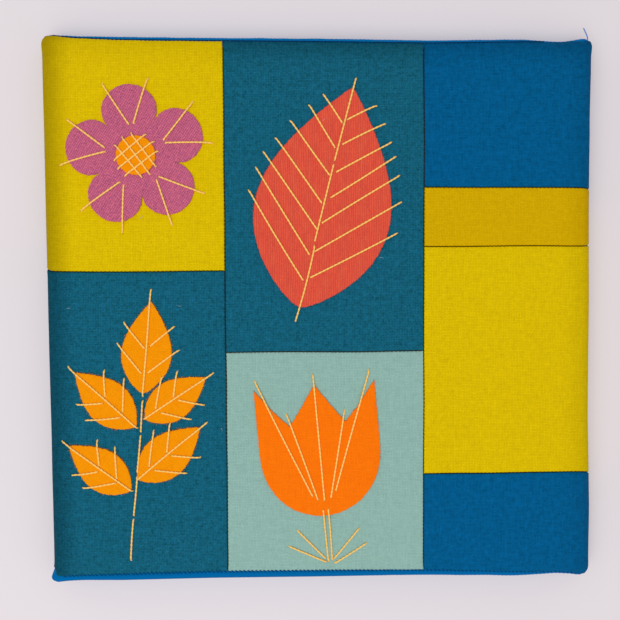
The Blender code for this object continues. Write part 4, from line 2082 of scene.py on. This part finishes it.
@dataclass
class FrayedEdge:
    """The short fibres that stand out along a motif's raw edge."""

    motif: Motif
    surface: FaceSurface
    pitch: float
    radius: float = 0.08 * MM
    fanning: float = 0.7
    lengths: tuple[float, float] = (0.25, 1.1)
    lifts: tuple[float, float] = (0.15, 0.7)
    foot: float = 1.2 * MM
    bends: tuple[float, ...] = (-0.3, 0.4, 1.0)

    def build(self, material: Material) -> Piece:
        """Makes the motif's fibres in its own cloth.

        Args:
            material: the motif's cloth.

        Returns:
            The piece with all the fibres.
        """
        rng = random.Random("fray of " + self.motif.node)
        outline = [self.motif.to_face(p) for p in self.motif.outline()]
        edge = even_outline(outline, self.pitch)
        lines = []
        for before, point, after in zip(edge[-1:] + edge[:-1], edge, edge[1:] + edge[:1]):
            out = Vector((after.y - before.y, before.x - after.x)).normalized()
            heading = math.atan2(out.y, out.x) + rng.gauss(0, self.fanning)
            way = Vector((math.cos(heading), math.sin(heading)))
            length = rng.uniform(*self.lengths) * MM
            ground = self.surface.height(point + self.foot * out)
            line = []
            for share in self.bends:
                place = point + way * length * share
                height = ground + rng.uniform(*self.lifts) * MM
                line.append(Vector((place.x, place.y, height)))
            lines.append(line)
        name = self.motif.node + "_frayed_edge"
        mesh = thread_mesh(name, lines, self.radius)
        mesh.uv_layers.active.name = CLOTH_UV
        return add_piece(name, mesh, material)


# The stage

CARD_HALF_SIZE = 3.0
WINDOW_PLACE = Vector((-0.35, -0.32, 1.7))
ROOM_COLOUR = "#F4F1F3"
ROOM_STRENGTH = 0.585
CAMERA_LENS = 41.4
CAMERA_PLACE = (-0.0167, 0.0145, 0.4088)
CAMERA_TURNS = (-2.03, -1.56, -0.28)


def add_stage() -> None:
    """Adds the pale card, the soft light from the lower left, and the camera."""
    bm = bmesh.new()
    bmesh.ops.create_grid(bm, x_segments=1, y_segments=1, size=CARD_HALF_SIZE)
    mesh = mesh_of(bm, "card")
    card = bpy.data.objects.new("card", mesh)
    mesh.materials.append(MattCard().material())
    bpy.context.scene.collection.objects.link(card)

    add_lamp("window", WINDOW_PLACE, size=1.6, watts=21)

    world = bpy.data.worlds.new("room")
    world.use_nodes = True
    background = world.node_tree.nodes["Background"]
    background.inputs["Color"].default_value = linear(ROOM_COLOUR)
    background.inputs["Strength"].default_value = ROOM_STRENGTH
    bpy.context.scene.world = world
    bpy.context.scene.view_settings.view_transform = "Standard"

    camera_data = bpy.data.cameras.new("camera")
    camera_data.sensor_width = 36.0
    camera_data.lens = CAMERA_LENS
    camera_data.clip_start = 0.01
    camera = bpy.data.objects.new("camera", camera_data)
    camera.location = CAMERA_PLACE
    camera.rotation_euler = [math.radians(turn) for turn in CAMERA_TURNS]
    bpy.context.scene.collection.objects.link(camera)
    bpy.context.scene.camera = camera


def add_lamp(name: str, place: Vector, size: float, watts: float) -> None:
    """Adds a square area lamp that points at the middle of the panel.

    Args:
        name: the lamp's name.
        place: where it hangs.
        size: the length of its sides.
        watts: its power.
    """
    data = bpy.data.lights.new(name, "AREA")
    data.shape = "SQUARE"
    data.size = size
    data.energy = watts
    lamp = bpy.data.objects.new(name, data)
    lamp.location = place
    lamp.rotation_euler = (-place).to_track_quat("-Z", "Y").to_euler()
    bpy.context.scene.collection.objects.link(lamp)


def main() -> None:
    """Builds the stage, and then the panel's cloth, motifs and sewing."""
    add_stage()
    materials = {cloth.slot: cloth.material() for cloth in CLOTHS}
    gold = GOLD_THREAD.material()
    groups = {
        "gold_stitches_flower": [FLOWER, FLOWER_EYE],
        "gold_stitches_leaf": [BROAD_LEAF],
        "gold_stitches_tulip": [TULIP],
        "gold_stitches_sprig": list(LEAFLETS),
    }
    ends = {
        name: [pair for motif in motifs for pair in motif.face_stitches()]
        for name, motifs in groups.items()
    }
    ends["gold_stitches_sprig"] += stem_stitches()
    every_end = [pair for pairs in ends.values() for pair in pairs]
    dimples = Dimples(tuple((p.x, p.y) for pair in every_end for p in pair))

    backing = Backing().build(materials[BACKING_BLUE.slot])
    pieces = []
    for patch in PATCHES:
        piece = patch.build(dimples, materials[patch.finish.slot])
        pieces.append(piece)
    grounds = [
        (FLOWER, "patch_yellow_top_left_cloth"),
        (FLOWER_EYE, "flower_cloth"),
        (BROAD_LEAF, "patch_teal_top_middle_cloth"),
        (TULIP, "patch_sage_low_middle_cloth"),
    ]
    grounds += [(motif, "patch_teal_low_left_cloth") for motif in LEAFLETS]
    for motif, ground in grounds:
        pieces.append(motif.build(ground, materials[motif.finish.slot]))

    surface = FaceSurface(pieces)
    FrayedEdge(BROAD_LEAF, surface, pitch=3.1 * MM).build(materials[CORAL_WOOL.slot])
    for motif in LEAFLETS:
        FrayedEdge(motif, surface, pitch=8.3 * MM).build(materials[AMBER_WOOL.slot])
    for name, pairs in ends.items():
        GoldStitches(surface).build(name, pairs, gold)
    NeedleHoleShades(surface).build(every_end, NEEDLE_HOLE_SHADE.material())
    SlipStitches().build(NAVY_THREAD.material())
    LooseEnds(surface).build(PALE_BLUE_THREAD.material(), LINT.material())


if __name__ == "__main__":
    main()
